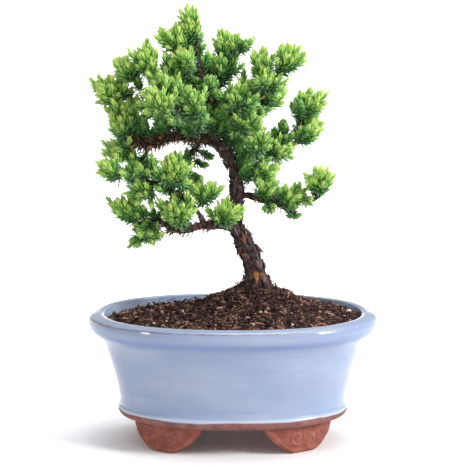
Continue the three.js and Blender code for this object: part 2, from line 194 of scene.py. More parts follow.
def piece(name, parts, materials, replaces=(), smooth=True, values=None):
    """Makes the object, fastens it to the frame and hides the CAD parts that it stands for."""
    mesh = bpy.data.meshes.new(name)
    faces = parts["faces"].astype(np.int32)
    mesh.vertices.add(len(parts["verts"]))
    mesh.vertices.foreach_set("co", (parts["verts"] * MM).astype(np.float32).ravel())
    mesh.loops.add(faces.size)
    mesh.loops.foreach_set("vertex_index", faces.ravel())
    mesh.polygons.add(len(faces))
    mesh.polygons.foreach_set("loop_start", np.arange(0, faces.size, 3, dtype=np.int32))
    mesh.polygons.foreach_set("material_index", parts["looks"].astype(np.int32))
    mesh.update(calc_edges=True)
    for map_name in (BAKE_MAP, TINT_MAP):
        layer = mesh.uv_layers.new(name=map_name)
        layer.uv.foreach_set("vector", parts["uv"].astype(np.float32).ravel())
    for key, numbers in (values or {}).items():
        layer = mesh.attributes.new(key, "FLOAT", "POINT")
        layer.data.foreach_set("value", numbers.astype(np.float32))
    mesh.polygons.foreach_set("use_smooth", np.full(len(faces), smooth))
    for material in materials:
        mesh.materials.append(material)
    made = bpy.data.objects.new(name, mesh)
    bpy.context.scene.collection.objects.link(made)
    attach(made, BODY)
    if replaces:
        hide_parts(*replaces)


# ---------------------------------------------------------------- curves and tubes


def spline(route, per_span):
    """Points on a centripetal Catmull-Rom curve through a route, with radii between the route's own."""
    route = np.asarray(route, float)
    knots = route[:, :3]
    padded = [2 * knots[0] - knots[1], *knots, 2 * knots[-1] - knots[-2]]
    places, radii = [], []
    for k in range(len(knots) - 1):
        p0, p1, p2, p3 = padded[k : k + 4]
        d0, d1, d2 = (math.sqrt(np.linalg.norm(b - a)) for a, b in ((p0, p1), (p1, p2), (p2, p3)))
        slope1 = p2 - p1 + d1 * ((p1 - p0) / d0 - (p2 - p0) / (d0 + d1))
        slope2 = p2 - p1 + d1 * ((p3 - p2) / d2 - (p3 - p1) / (d1 + d2))
        last = k == len(knots) - 2
        t = np.linspace(0, 1, per_span + 1)[: None if last else -1, None]
        places.append(
            (2 * t**3 - 3 * t**2 + 1) * p1
            + (t**3 - 2 * t**2 + t) * slope1
            + (3 * t**2 - 2 * t**3) * p2
            + (t**3 - t**2) * slope2
        )
        radii.append(route[k, 3] + (route[k + 1, 3] - route[k, 3]) * t[:, 0])
    return np.concatenate(places), np.concatenate(radii)


def path_length(path):
    return np.linalg.norm(np.diff(path, axis=0), axis=1).sum()


def frames_along(path):
    """The direction of a path at each point, with two more directions across it that don't twist."""
    along = unit(np.gradient(path, axis=0))
    across = np.empty_like(along)
    current = np.array([0.0, 1.0, 0.01])
    for k, direction in enumerate(along):
        current = current - direction * np.dot(current, direction)
        current /= np.linalg.norm(current)
        across[k] = current
    return along, across, np.cross(along, across)


def spokes(across, up, turn):
    """Directions round a path at the given angles: [..., angle, xyz]."""
    return across[..., None, :] * np.cos(turn)[:, None] + up[..., None, :] * np.sin(turn)[:, None]


def tube(path, radii, sides):
    """A closed tube. The radii are one for each ring, or one for each vertex of each ring."""
    along, across, up = frames_along(path)
    outward = spokes(across, up, circle(sides))
    radii = np.broadcast_to(np.asarray(radii).reshape(len(path), -1), (len(path), sides))
    sheet = grid(path[:, None] + outward * radii[..., None])
    last = (len(path) - 1) * sides
    sheet = lid(sheet, np.arange(sides), True, path[0] - along[0] * radii[0, 0] * 0.2)
    return lid(sheet, np.arange(last, last + sides), False, path[-1] + along[-1] * radii[-1, 0] * 0.4)


def bow(start, middle, end, steps):
    """Points on the bows from each start to each end, pulled towards each middle: [bow, step, xyz]."""
    t = np.linspace(0, 1, steps)[None, :, None]
    return start[:, None] * (1 - t) ** 2 + middle[:, None] * 2 * t * (1 - t) + end[:, None] * t**2


def stems(paths, thick, thin, look, tint):
    """Thin three-sided stems along many paths at once."""
    count, steps = paths.shape[:2]
    along = unit(np.gradient(paths, axis=1))
    helper = np.where(np.abs(along[:, :1, 2:]) > 0.8, np.array([1.0, 0, 0]), UP)
    across = unit(np.cross(along, helper))
    outward = spokes(across, np.cross(along, across), circle(3))
    radii = np.linspace(0, 1, steps)[None, :, None, None]
    radii = np.reshape(thick, (-1, 1, 1, 1)) * (1 - radii) + np.reshape(thin, (-1, 1, 1, 1)) * radii
    verts = (paths[:, :, None] + outward * radii).reshape(count, -1, 3)
    one = grid(np.zeros((steps, 3, 3)))["faces"]
    last = (steps - 1) * 3
    faces = np.concatenate([one, [[0, 2, 1], [last, last + 1, last + 2]]])
    faces = (faces[None] + np.arange(count)[:, None, None] * steps * 3).reshape(-1, 3)
    low, high = np.array(tint) - 0.01, np.array(tint) + 0.01
    corner = np.array([[low[0], low[1]], [high[0], low[1]], [high[0], high[1]]])
    return chunk(verts.reshape(-1, 3), faces, np.tile(corner, (len(faces), 1, 1)), look)


# ---------------------------------------------------------------- material building


def srgb(red, green, blue):
    """A colour, 0 to 255, as the linear numbers that shaders use."""
    return tuple(
        c / 12.92 if c <= 0.04045 else ((c + 0.055) / 1.055) ** 2.4
        for c in (red / 255, green / 255, blue / 255)
    )


class Look:
    """A material's nodes, made and wired by short calls."""

    def __init__(self, name, roughness, **sockets):
        self.material = bpy.data.materials.new(name)
        self.material.use_nodes = True
        self.tree = self.material.node_tree
        self.shader = self.tree.nodes["Principled BSDF"]
        self.set("Roughness", roughness)
        for key, value in sockets.items():
            self.set(key.replace("_", " "), value)

    def node(self, kind, inputs=(), output=0, **settings):
        made = self.tree.nodes.new(kind)
        for key, value in settings.items():
            setattr(made, key, value)
        for key, value in dict(inputs).items():
            self.put(made.inputs[key], value)
        return made.outputs[output]

    def put(self, socket, value):
        if isinstance(value, bpy.types.NodeSocket):
            self.tree.links.new(value, socket)
        elif socket.type == "RGBA":
            socket.default_value = (*value, 1)
        else:
            socket.default_value = value

    def set(self, key, value):
        self.put(self.shader.inputs[key], value)

    def noise(self, sizes, detail=3.0, distortion=0.0, scale=1.0):
        """Noise whose lumps are about so many millimetres along x, y and z."""
        spot = self.node("ShaderNodeTexCoord", output="Object")
        scales = tuple(1 / (MM * size) for size in sizes)
        inputs = {
            "Vector": self.node("ShaderNodeMapping", {"Vector": spot, "Scale": scales}),
            "Scale": scale,
            "Detail": detail,
            "Distortion": distortion,
            "Roughness": 0.55,
        }
        return self.node("ShaderNodeTexNoise", inputs, output="Fac")

    def ramp(self, value, stops):
        """A colour that changes with a value: stops are (place, colour from 0 to 255) or (place, grey)."""
        made = self.tree.nodes.new("ShaderNodeValToRGB")
        self.put(made.inputs[0], value)
        points = made.color_ramp.elements
        while len(points) < len(stops):
            points.new(0.5)
        for point, (place, colour) in zip(points, stops):
            point.position = place
            point.color = (*srgb(*colour), 1) if isinstance(colour, tuple) else (colour, colour, colour, 1)
        return made.outputs[0]

    def mix(self, share, first, second):
        inputs = {"Factor": share, 6: first, 7: second}
        return self.node("ShaderNodeMix", inputs, 2, data_type="RGBA")

    def turning(self, value, stops, first, second):
        """The first colour, turning into the second one where the stops over a value say so."""
        return self.mix(self.ramp(value, stops), first, second)

    def maths(self, operation, first, second, clamp=False):
        inputs = {0: first, 1: second}
        return self.node("ShaderNodeMath", inputs, operation=operation, use_clamp=clamp)

    def value(self, name):
        return self.node("ShaderNodeAttribute", attribute_name=name, output="Fac")

    def tint(self):
        """The two numbers that each face corner carries in its tint map."""
        spot = self.node("ShaderNodeUVMap", uv_map=TINT_MAP)
        split = self.tree.nodes.new("ShaderNodeSeparateXYZ")
        self.put(split.inputs[0], spot)
        return split.outputs[0], split.outputs[1]

    def bump(self, height, strength, distance):
        inputs = {"Height": height, "Strength": strength, "Distance": distance * MM}
        self.set("Normal", self.node("ShaderNodeBump", inputs))


# ---------------------------------------------------------------- materials

INNER_FROM = 0.52  # tint u from here up is a needle's inner, waxy face
OUTER_TO = 0.48  # tint u from 0 to here is its outer face


def needle_material():
    """u runs from a needle's old dark base to its fresh tip, and v from shaded to sunlit shoots, which is
    light and shade painted into the needles' colour.
    """
    look = Look("juniper_needles", 0.42, Specular_IOR_Level=0.45)
    u, v = look.tint()
    inner = look.maths("GREATER_THAN", u, 0.5)
    shift = look.maths("MULTIPLY", inner, INNER_FROM)
    fresh = look.maths("DIVIDE", look.maths("SUBTRACT", u, shift), OUTER_TO, clamp=True)
    # Painted shade and painted light: v mixes a shaded and a sunlit copy of the same greens.
    shaded = look.ramp(fresh, [
        (0.0, (22, 50, 25)),
        (0.35, (54, 110, 52)),
        (0.7, (92, 154, 72)),
        (1.0, (136, 182, 88)),
    ])
    sunlit = look.ramp(fresh, [
        (0.0, (58, 118, 56)),
        (0.35, (102, 166, 76)),
        (0.7, (150, 198, 88)),
        (1.0, (202, 216, 112)),
    ])
    green = look.mix(v, shaded, sunlit)
    look.set("Base Color", look.mix(look.maths("MULTIPLY", inner, 0.26), green, srgb(176, 206, 178)))
    look.set("Subsurface Weight", 0.12)
    look.set("Subsurface Radius", (0.4, 1.0, 0.2))
    look.set("Subsurface Scale", 0.8 * MM)
    return look.material


def twig_material():
    look = Look("green_twigs", 0.7)
    u, _ = look.tint()
    look.set("Base Color", look.ramp(u, [
        (0.0, (58, 38, 30)),
        (0.4, (84, 62, 38)),
        (0.8, (86, 104, 48)),
        (1.0, (104, 140, 60)),
    ]))
    return look.material


def dry_material():
    look = Look("dry_needles", 0.75)
    u, v = look.tint()
    brown = look.ramp(u, [(0.0, (44, 24, 20)), (0.6, (96, 50, 34)), (1.0, (164, 96, 58))])
    pale = look.ramp(u, [(0.0, (70, 40, 32)), (1.0, (196, 152, 112))])
    look.set("Base Color", look.mix(v, brown, pale))
    return look.material


def bark_material():
    """Flaking juniper bark: long purple-brown, grey and rusty streaks with dark cracks between them."""
    look = Look("juniper_bark", 0.86, Specular_IOR_Level=0.3)
    streak = look.noise((1.5, 1.5, 6), 5, 0.6)
    fibre = look.noise((0.55, 0.55, 2.4), 4, 0.3)
    patch = look.noise((6, 6, 9), 2)
    brown = look.ramp(streak, [
        (0.28, (24, 16, 18)),
        (0.45, (54, 39, 41)),
        (0.58, (84, 66, 68)),
        (0.74, (128, 106, 106)),
    ])
    rusty = look.ramp(streak, [(0.3, (36, 18, 14)), (0.5, (96, 50, 34)), (0.72, (166, 100, 66))])
    colour = look.turning(patch, [(0.54, 0.0), (0.66, 1.0)], brown, rusty)
    colour = look.turning(fibre, [(0.36, 0.75), (0.5, 0.0)], colour, srgb(20, 13, 13))
    scarred = look.maths("MULTIPLY", look.value("scar"), look.ramp(fibre, [(0.38, 0.1), (0.58, 0.95)]))
    look.set("Base Color", look.mix(scarred, colour, srgb(186, 132, 58)))
    look.bump(look.maths("ADD", look.maths("MULTIPLY", fibre, 0.6), streak), 0.8, 0.7)
    return look.material


def flake_material():
    look = Look("bark_flakes", 0.85)
    u, v = look.tint()
    bark = look.ramp(v, [
        (0.0, (34, 23, 26)),
        (0.35, (66, 49, 52)),
        (0.58, (108, 88, 90)),
        (0.78, (120, 66, 44)),
        (1.0, (170, 116, 80)),
    ])
    dark_ends = [(0.0, 0.45), (0.5, 0.0), (1.0, 0.2)]
    look.set("Base Color", look.turning(u, dark_ends, bark, srgb(30, 20, 19)))
    return look.material


def cut_wood_material():
    look = Look("cut_wood", 0.7)
    grain = look.noise((1, 1, 1), scale=1.4)
    look.set("Base Color", look.ramp(grain, [
        (0.3, (112, 58, 34)),
        (0.5, (168, 98, 56)),
        (0.7, (206, 146, 96)),
    ]))
    look.bump(grain, 0.5, 0.3)
    return look.material


def soil_material():
    look = Look("peat", 0.95, Specular_IOR_Level=0.2)
    clump = look.noise((2.2, 2.2, 2.2), 5)
    fine = look.noise((0.6, 0.6, 0.6))
    colour = look.ramp(clump, [(0.3, (22, 15, 14)), (0.5, (52, 36, 32)), (0.68, (86, 62, 54))])
    look.set("Base Color", look.turning(fine, [(0.4, 0.5), (0.55, 0.0)], colour, srgb(14, 9, 8)))
    look.bump(look.maths("ADD", clump, look.maths("MULTIPLY", fine, 0.5)), 0.9, 0.8)
    return look.material


def crumb_material():
    look = Look("soil_crumbs", 0.93, Specular_IOR_Level=0.2)
    _, v = look.tint()
    look.set("Base Color", look.ramp(v, [
        (0.0, (20, 13, 13)),
        (0.35, (54, 37, 34)),
        (0.6, (108, 79, 72)),
        (0.78, (154, 116, 102)),
        (0.9, (192, 148, 120)),
        (0.965, (208, 168, 126)),
        (1.0, (232, 226, 214)),
    ]))
    return look.material


def grainy_clay(look, tones, grain_tone, painted_shade_tone=None):
    """Cloudy fired clay with dark grains, and painted shade in hollows if a shade tone is given: its colour,
    and the grains for a bump.
    """
    cloud = look.noise((7, 7, 5), 4)
    grain = look.noise((0.7, 0.7, 0.7))
    colour = look.ramp(cloud, list(zip((0.3, 0.5, 0.7), tones)))
    if painted_shade_tone:
        # Painted shade: darker clay in the relief's hollows.
        colour = look.mix(look.value("hollow"), colour, srgb(*painted_shade_tone))
    return look.turning(grain, [(0.34, 0.5), (0.48, 0.0)], colour, srgb(*grain_tone)), grain


def pot_material():
    """Pale blue glaze over red clay. The mesh says where the glaze lies, where it thins at an edge, where
    painted shade darkens it under the lip and where a painted highlight lightens its lower edge.
    """
    look = Look("glazed_pot", 0.14, Coat_Roughness=0.06, Specular_IOR_Level=0.5)
    glaze = look.value("glaze")
    cloud = look.noise((60, 60, 26), 3, 0.4)
    band = look.noise((90, 90, 5), 2)
    speck = look.noise((1.6, 1.6, 1.6), 2)
    blue = look.ramp(cloud, [(0.32, (128, 143, 172)), (0.5, (136, 149, 175)), (0.68, (146, 156, 178))])
    blue = look.turning(band, [(0.56, 0.0), (0.68, 0.4)], blue, srgb(120, 138, 178))
    blue = look.turning(speck, [(0.68, 0.0), (0.78, 0.3)], blue, srgb(120, 134, 166))
    # Painted shade under the lip: a darker blue where the lip's underside faces down.
    blue = look.mix(look.value("painted_lip_shade"), blue, srgb(104, 124, 168))
    # Painted highlight: a pale line along the thick roll at the glaze's lower edge.
    blue = look.mix(look.maths("MULTIPLY", look.value("painted_edge_highlight"), 0.6), blue, srgb(196, 206, 222))
    worn = look.ramp(look.noise((9, 9, 4)), [(0.38, 0.35), (0.6, 1.0)])
    blue = look.mix(look.maths("MULTIPLY", look.value("thin_edge"), worn), blue, srgb(112, 80, 76))
    clay, grain = grainy_clay(look, ((102, 60, 56), (124, 78, 72), (142, 94, 86)), (92, 50, 46))
    look.set("Base Color", look.mix(glaze, clay, blue))
    look.set("Roughness", look.mix(glaze, (0.74, 0.74, 0.74), (0.09, 0.09, 0.09)))
    look.bump(look.maths("MULTIPLY", grain, look.maths("SUBTRACT", 1.0, glaze)), 0.5, 0.25)
    return look.material


def clay_material():
    """The feet's clay, with painted shade in the relief's hollows where the mesh says so."""
    look = Look("red_clay", 0.76)
    tones = ((122, 62, 50), (148, 82, 68), (170, 100, 82))
    clay, grain = grainy_clay(look, tones, (110, 58, 48), (106, 50, 38))
    look.set("Base Color", clay)
    look.bump(grain, 0.5, 0.3)
    return look.material


def screen_material():
    look = Look("black_mesh", 0.55)
    scuff = look.noise((3, 3, 3))
    look.set("Base Color", look.ramp(scuff, [(0.35, (22, 23, 25)), (0.7, (46, 48, 50))]))
    look.bump(scuff, 0.3, 0.2)
    return look.material


def floor_material():
    look = Look("paper_floor", 0.85)
    tone = look.noise((400, 400, 400), 2)
    look.set("Base Color", look.ramp(tone, [(0.3, (246, 246, 247)), (0.7, (250, 250, 250))]))
    return look.material


NEEDLES = needle_material()
TWIGS = twig_material()
DRY = dry_material()
BARK = bark_material()
FLAKES = flake_material()
CUT_WOOD = cut_wood_material()

# ---------------------------------------------------------------- pot

SCREENS = ("drain_screen_left", "drain_screen_right")
RIM_HALF_LENGTH, RIM_HALF_DEPTH, POT_HEIGHT = node_box("pot")[1]
RIM = POT_HEIGHT
FULLNESS = 2.25  # of the pot's plan: 2 is an ellipse
WALL = 6
FLOOR_THICKNESS = 6
LIP_WIDTH = 11.5
LIP_FALL = 2
LIP_DEPTH = 16
LIP_INSET = 9.6
WAIST_INSET = 22
WAIST_RISE = 10.5
BEAD_INSET = 20.2
BEAD_RISE = 5.5
UNDERSIDE_INSET = 27.5
FOOT_HEIGHT = 19
CAP_HALF = 54  # half length of the flat middle of the floor, which the drain holes go through
DRAIN_RADIUS = 6
DRAIN_COLUMNS = 48
POT_COLUMNS = 288
GLAZE_LINE = FOOT_HEIGHT + 5.6  # where the glaze stops above the bare clay
GLAZE_THICKNESS = 0.45
GLAZED_INSIDE = (POT_HEIGHT - 26, POT_HEIGHT - 20)  # heights over which the glaze inside ends
LIP_SHADE_HEIGHT = POT_HEIGHT - 11.5  # where painted shade darkens the glaze in the hollow under the lip
WORN_SIDE = 200  # degrees round the rim to where its edge shows most clay through the glaze


def on_oval(half_length, angle):
    """Points on the pot's plan at given half lengths and angles."""
    half_depth = half_length * RIM_HALF_DEPTH / RIM_HALF_LENGTH
    bend = 2 / FULLNESS
    c, s = np.cos(angle), np.sin(angle)
    return half_length * np.sign(c) * np.abs(c) ** bend, half_depth * np.sign(s) * np.abs(s) ** bend


def smooth_line(points, per_span):
    """A smooth run of [half length, height] points through a few chosen ones."""
    return spline([[half, height, 0, 0] for half, height in points], per_span)[0][:, :2]


def level_line(start, stop, count, height):
    return np.stack([np.linspace(start, stop, count), np.full(count, height)], 1)


def wall_line(shares, inset=0.0):
    rise = POT_HEIGHT - LIP_DEPTH - FOOT_HEIGHT - WAIST_RISE
    half = RIM_HALF_LENGTH - WAIST_INSET + (WAIST_INSET - LIP_INSET) * shares**1.35 - inset
    return np.stack([half, FOOT_HEIGHT + WAIST_RISE + rise * shares], 1)


def pot_profile():
    """The pot's section from its underside, out, up, over the lip, down inside and along its floor."""
    rim, top, base = RIM_HALF_LENGTH, POT_HEIGHT, FOOT_HEIGHT
    under_edge = rim - UNDERSIDE_INSET
    foot = smooth_line([
        (under_edge - 0.8, base),
        (under_edge + 1, base + 0.25),
        (rim - BEAD_INSET - 1.6, base + 0.2 * BEAD_RISE + 0.4),
        (rim - BEAD_INSET, base + 0.75 * BEAD_RISE),
        (rim - BEAD_INSET - 0.2, base + 1.2 * BEAD_RISE),
        (rim - WAIST_INSET + 0.3, base + 0.8 * WAIST_RISE),
    ], 12)
    wall = wall_line(np.linspace(0, 0.9, 60))
    lip_under = smooth_line([
        wall[-1],
        (rim - 0.98 * LIP_INSET, top - 1.09 * LIP_DEPTH),
        (rim - 0.7 * LIP_INSET, top - 0.92 * LIP_DEPTH),
        (rim - 0.29 * LIP_INSET, top - 0.7 * LIP_DEPTH),
        (rim - 0.05 * LIP_INSET, top - 0.5 * LIP_DEPTH),
        (rim, top - 0.31 * LIP_DEPTH),
        (rim - 0.1 * LIP_INSET, top - LIP_FALL),
    ], 10)
    lip_top = smooth_line([
        lip_under[-1],
        (rim - 0.2 * LIP_WIDTH, top - 0.55 * LIP_FALL),
        (rim - 0.5 * LIP_WIDTH, top - 0.12 * LIP_FALL),
        (rim - 0.8 * LIP_WIDTH, top),
        (rim - LIP_WIDTH + 0.3, top - 0.5),
        (rim - LIP_WIDTH, top - 1.4),
    ], 8)
    inside = smooth_line([
        (rim - LIP_WIDTH, top - 1.6),
        (rim - LIP_WIDTH - 0.25 * WALL, top - 0.44 * LIP_DEPTH),
        wall_line(np.array([1.0]), WALL)[0],
    ], 12)
    floor = base + FLOOR_THICKNESS
    hollow = smooth_line([
        (rim - WAIST_INSET - 1.05 * WALL, floor + 1.2 * WALL),
        (rim - WAIST_INSET - 1.3 * WALL, floor + 0.4 * WALL),
        (rim - WAIST_INSET - 1.8 * WALL, floor + 0.02 * WALL),
    ], 5)
    return np.concatenate([
        level_line(CAP_HALF, under_edge - 1.2, 8, base),
        foot,
        wall[1:-1],
        lip_under,
        lip_top[1:],
        inside[1:],
        wall_line(np.linspace(0.96, 0, 20), WALL),
        hollow,
        level_line(hollow[-1, 0] - 1, CAP_HALF, 8, floor),
    ])


def drain_circle(screen, height):
    """The edge of the drain hole under a screen."""
    middle = sum(node_box(screen)) / 2
    turn = circle(DRAIN_COLUMNS)
    x, y = middle[0] + DRAIN_RADIUS * np.cos(turn), middle[1] + DRAIN_RADIUS * np.sin(turn)
    return np.stack([x, y, np.full(DRAIN_COLUMNS, height)], 1)


def worn_edges(profile, spots, turn):
    """How much clay shows through the glaze at the lip's outer and inner edges."""
    outer_edge = (RIM_HALF_LENGTH - 0.1 * LIP_INSET, POT_HEIGHT - LIP_FALL)
    outer_row = np.argmin(np.hypot(*(profile - outer_edge).T))
    run = np.concatenate([[0], np.cumsum(np.hypot(*np.diff(profile, axis=0).T))])[:, None]
    side = 0.35 + 0.75 * np.cos(turn - math.radians(WORN_SIDE)) + 0.25 * noise(spots * 1.3, 6)
    inner_place = run[np.argmax(profile[:, 1])] + 2
    return np.maximum(bell(run, run[outer_row], 0.75) * side.clip(0, 1.1), 0.55 * bell(run, inner_place, 0.5))


def make_pot():
    profile = pot_profile()
    turn = circle(POT_COLUMNS)
    half, height = (np.repeat(profile[:, k : k + 1], POT_COLUMNS, axis=1) for k in (0, 1))
    outside = (np.arange(len(profile)) <= np.argmax(profile[:, 1]))[:, None]
    spots = np.stack([np.cos(turn) * 3, np.sin(turn) * 3, 0 * turn], 1)
    above_line = height - (GLAZE_LINE + 0.55 * noise(spots, 3) + 0.3 * noise(spots * 4, 4))
    coated = smoothstep(-0.5, 0.5, above_line)
    roll = bell(above_line, 0.9, 0.9) * coated
    around = np.stack([np.cos(turn) * 2.2 + 0 * half, np.sin(turn) * 2.2 + 0 * half, height / 16], -1)
    half = half + outside * GLAZE_THICKNESS * (coated - 1 + 0.5 * roll)
    wavy = outside & (height > FOOT_HEIGHT + 0.1) & (half < RIM_HALF_LENGTH - 1)
    half = half + 0.18 * noise(around, 8) * wavy
    points = np.stack([*on_oval(half, turn), height], -1)
    under, over = ([drain_circle(screen, level) for screen in SCREENS]
                   for level in (FOOT_HEIGHT, FOOT_HEIGHT + FLOOR_THICKNESS))
    ring = np.arange(POT_COLUMNS)
    sheet = holed_lid(grid(points), ring, under, True)
    sheet = holed_lid(sheet, ring + (len(profile) - 1) * POT_COLUMNS, over, False)
    bores = [grid(np.stack([high, low]), uv_box=(0.01, 0.01, 0.05, 0.05)) for low, high in zip(under, over)]
    sheet = joined([sheet, *bores])
    coats = {
        "glaze": np.where(outside, coated, smoothstep(*GLAZED_INSIDE, height)),
        # painted shade under the lip
        "painted_lip_shade": 0.85 * bell(height, LIP_SHADE_HEIGHT, 2.6) * outside,
        # painted highlight along the glaze's lower edge
        "painted_edge_highlight": bell(height, GLAZE_LINE + 1.2, 1.3) * outside,
        "thin_edge": worn_edges(profile, spots, turn),
    }
    bare = np.zeros(len(sheet["verts"]) - height.size)
    values = {key: np.append(coat.ravel(), bare) for key, coat in coats.items()}
    piece("pot_body", sheet, [pot_material()], ["pot"], values=values)


FOOT_MIDDLE = 48  # degrees round the pot
FOOT_TOP_REACH = 26.5  # degrees to each side of its middle
FOOT_BOTTOM_REACH = 7
FOOT_SETBACK = 0.6
FOOT_SLANT = 2
FOOT_THICKNESS = 10
FOOT_SINK = 2
FOOT_COLUMNS = 96
FOOT_ROWS = 60
FOOT_MM_PER_DEGREE = 1.12
FOOT_EDGE_RADIUS = 3.2
RELIEF_HEIGHT = 0.8
# The relief's spirals: each one's place across and up the foot, its reach, its pitch and its turn.
SCROLLS = [(-9.5, 11.8, 6.6, 4.4, 1), (8.5, 11.6, 6.4, 4.2, -1), (0, 5.2, 3.4, 3.4, 1)]


def scroll(x, z, centre_x, centre_z, reach, pitch, turn):
    """A raised spiral band, 0 to 1, round a centre."""
    dx, dz = x - centre_x, z - centre_z
    away = np.hypot(dx, dz)
    wave = np.cos(2 * math.pi * (away / pitch) - turn * np.arctan2(dz, dx))
    return smoothstep(-0.1, 0.7, wave) * (1 - smoothstep(reach - 1.2, reach, away))


def foot_points(sign_x, sign_y, inside):
    """A grid of points on a foot's outer or inner face, and how much painted shade lies on each in the
    relief's hollows.
    """
    u = np.linspace(0, 1, FOOT_COLUMNS + 1)[None]
    v = np.linspace(0, 1, FOOT_ROWS + 1)[:, None] ** 1.25
    total = FOOT_HEIGHT + FOOT_SINK
    share = np.minimum(v * total / FOOT_HEIGHT, 1)
    bulge = (1 - (1 - share) ** 1.6) ** 0.75
    reach = FOOT_BOTTOM_REACH + (FOOT_TOP_REACH - FOOT_BOTTOM_REACH) * bulge
    half = RIM_HALF_LENGTH - UNDERSIDE_INSET - FOOT_SETBACK - FOOT_SLANT * (1 - share) ** 2
    width = 2 * reach * FOOT_MM_PER_DEGREE
    z = v * total + 0 * u
    local_x = (u - 0.5) * width
    edge = np.minimum(np.minimum(u, 1 - u) * width, z + 0.2)
    short = (1 - edge / FOOT_EDGE_RADIUS).clip(0)
    inset = FOOT_EDGE_RADIUS * (1 - np.sqrt(np.clip(1 - short**2, 0, 1)))
    if inside:
        half = half - FOOT_THICKNESS + inset
        hollow = np.zeros_like(z)
    else:
        relief = np.maximum.reduce([scroll(local_x, z, *numbers) for numbers in SCROLLS])
        border = 0.7 - 0.7 * smoothstep(0.6, 1.8, np.abs(edge - 2.4))
        relief = np.maximum(relief, border) * smoothstep(0.4, 1.6, edge)
        relief = relief * (1 - smoothstep(FOOT_HEIGHT - 2, FOOT_HEIGHT - 0.5, z))
        lumps = 0.15 * noise(np.stack([local_x / 4, z / 4, 0 * z + sign_x + 2 * sign_y], -1), 11)
        half = half - inset + RELIEF_HEIGHT * relief - 0.5 + lumps
        # painted shade in the hollows between the raised relief
        hollow = (1 - relief) * smoothstep(1.5, 3, edge) * 0.45
    x, y = on_oval(half, np.radians(FOOT_MIDDLE + reach * (2 * u - 1)))
    return np.stack([sign_x * x, sign_y * y, z], -1), hollow


def make_foot(name, sign_x, sign_y, material):
    outside, hollow = foot_points(sign_x, sign_y, False)
    inside, _ = foot_points(sign_x, sign_y, True)
    if sign_x * sign_y > 0:
        outside, inside, hollow = outside[:, ::-1], inside[:, ::-1], hollow[:, ::-1]
    ring = np.concatenate([outside, inside[:, ::-1]], 1)
    rows, around = ring.shape[:2]
    sheet = lid(grid(ring[:, ::-1]), np.arange(around), True)
    sheet = lid(sheet, np.arange(around) + (rows - 1) * around, False)
    depth = np.concatenate([hollow, 0 * hollow], 1)[:, ::-1]
    # the painted shade in the relief's hollows
    values = {"hollow": np.append(depth.ravel(), [0, 0])}
    piece(name, sheet, [material], ["pot"], values=values)


make_pot()
clay = clay_material()
for back_or_front, sign_y in (("front", -1), ("back", 1)):
    for side, sign_x in (("left", -1), ("right", 1)):
        make_foot(f"pot_foot_{back_or_front}_{side}", sign_x, sign_y, clay)

for node in SCREENS:
    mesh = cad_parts[node].data
    mesh.materials.clear()
    mesh.materials.append(screen_material())

# ---------------------------------------------------------------- tree routes

TRUNK_X = 17

# Each limb is a list of [x, y, height above the rim, radius]: x is measured from the trunk's foot.
TRUNK_ROUTE = [
    [0, 0, -14, 13], [0, 0, 6, 12], [0, 0, 16, 9.5], [-1, 0, 24, 7.8], [-3, -1, 34, 6.8],
    [-6, -2, 42, 6.2], [-9, -3, 49, 6.2], [-13, -3, 56, 5.2], [-15, -2, 63, 4.3], [-16, -1, 69, 3.9],
    [-15, 0, 78, 3.8], [-14, 0, 84, 3.7], [-15, 2, 91, 3.8], [-16, 3, 98, 3.9], [-19, 5, 105, 3.8],
    [-23, 6, 112, 3.8], [-29, 8, 117, 3.6], [-32, 8, 124, 3.2], [-32, 7, 134, 2.8], [-34, 5, 144, 2.4],
    [-36, 3, 155, 2.1], [-40, 0, 167, 1.7], [-42, -2, 180, 1.4], [-42, -2, 189, 1.1],
]
# Each surface root's direction in degrees, its reach and its radius.
ROOTS = [[200, 24, 4.2], [262, 20, 3.6], [318, 25, 3.8], [25, 22, 3.6], [95, 22, 3.4], [150, 23, 3.2]]

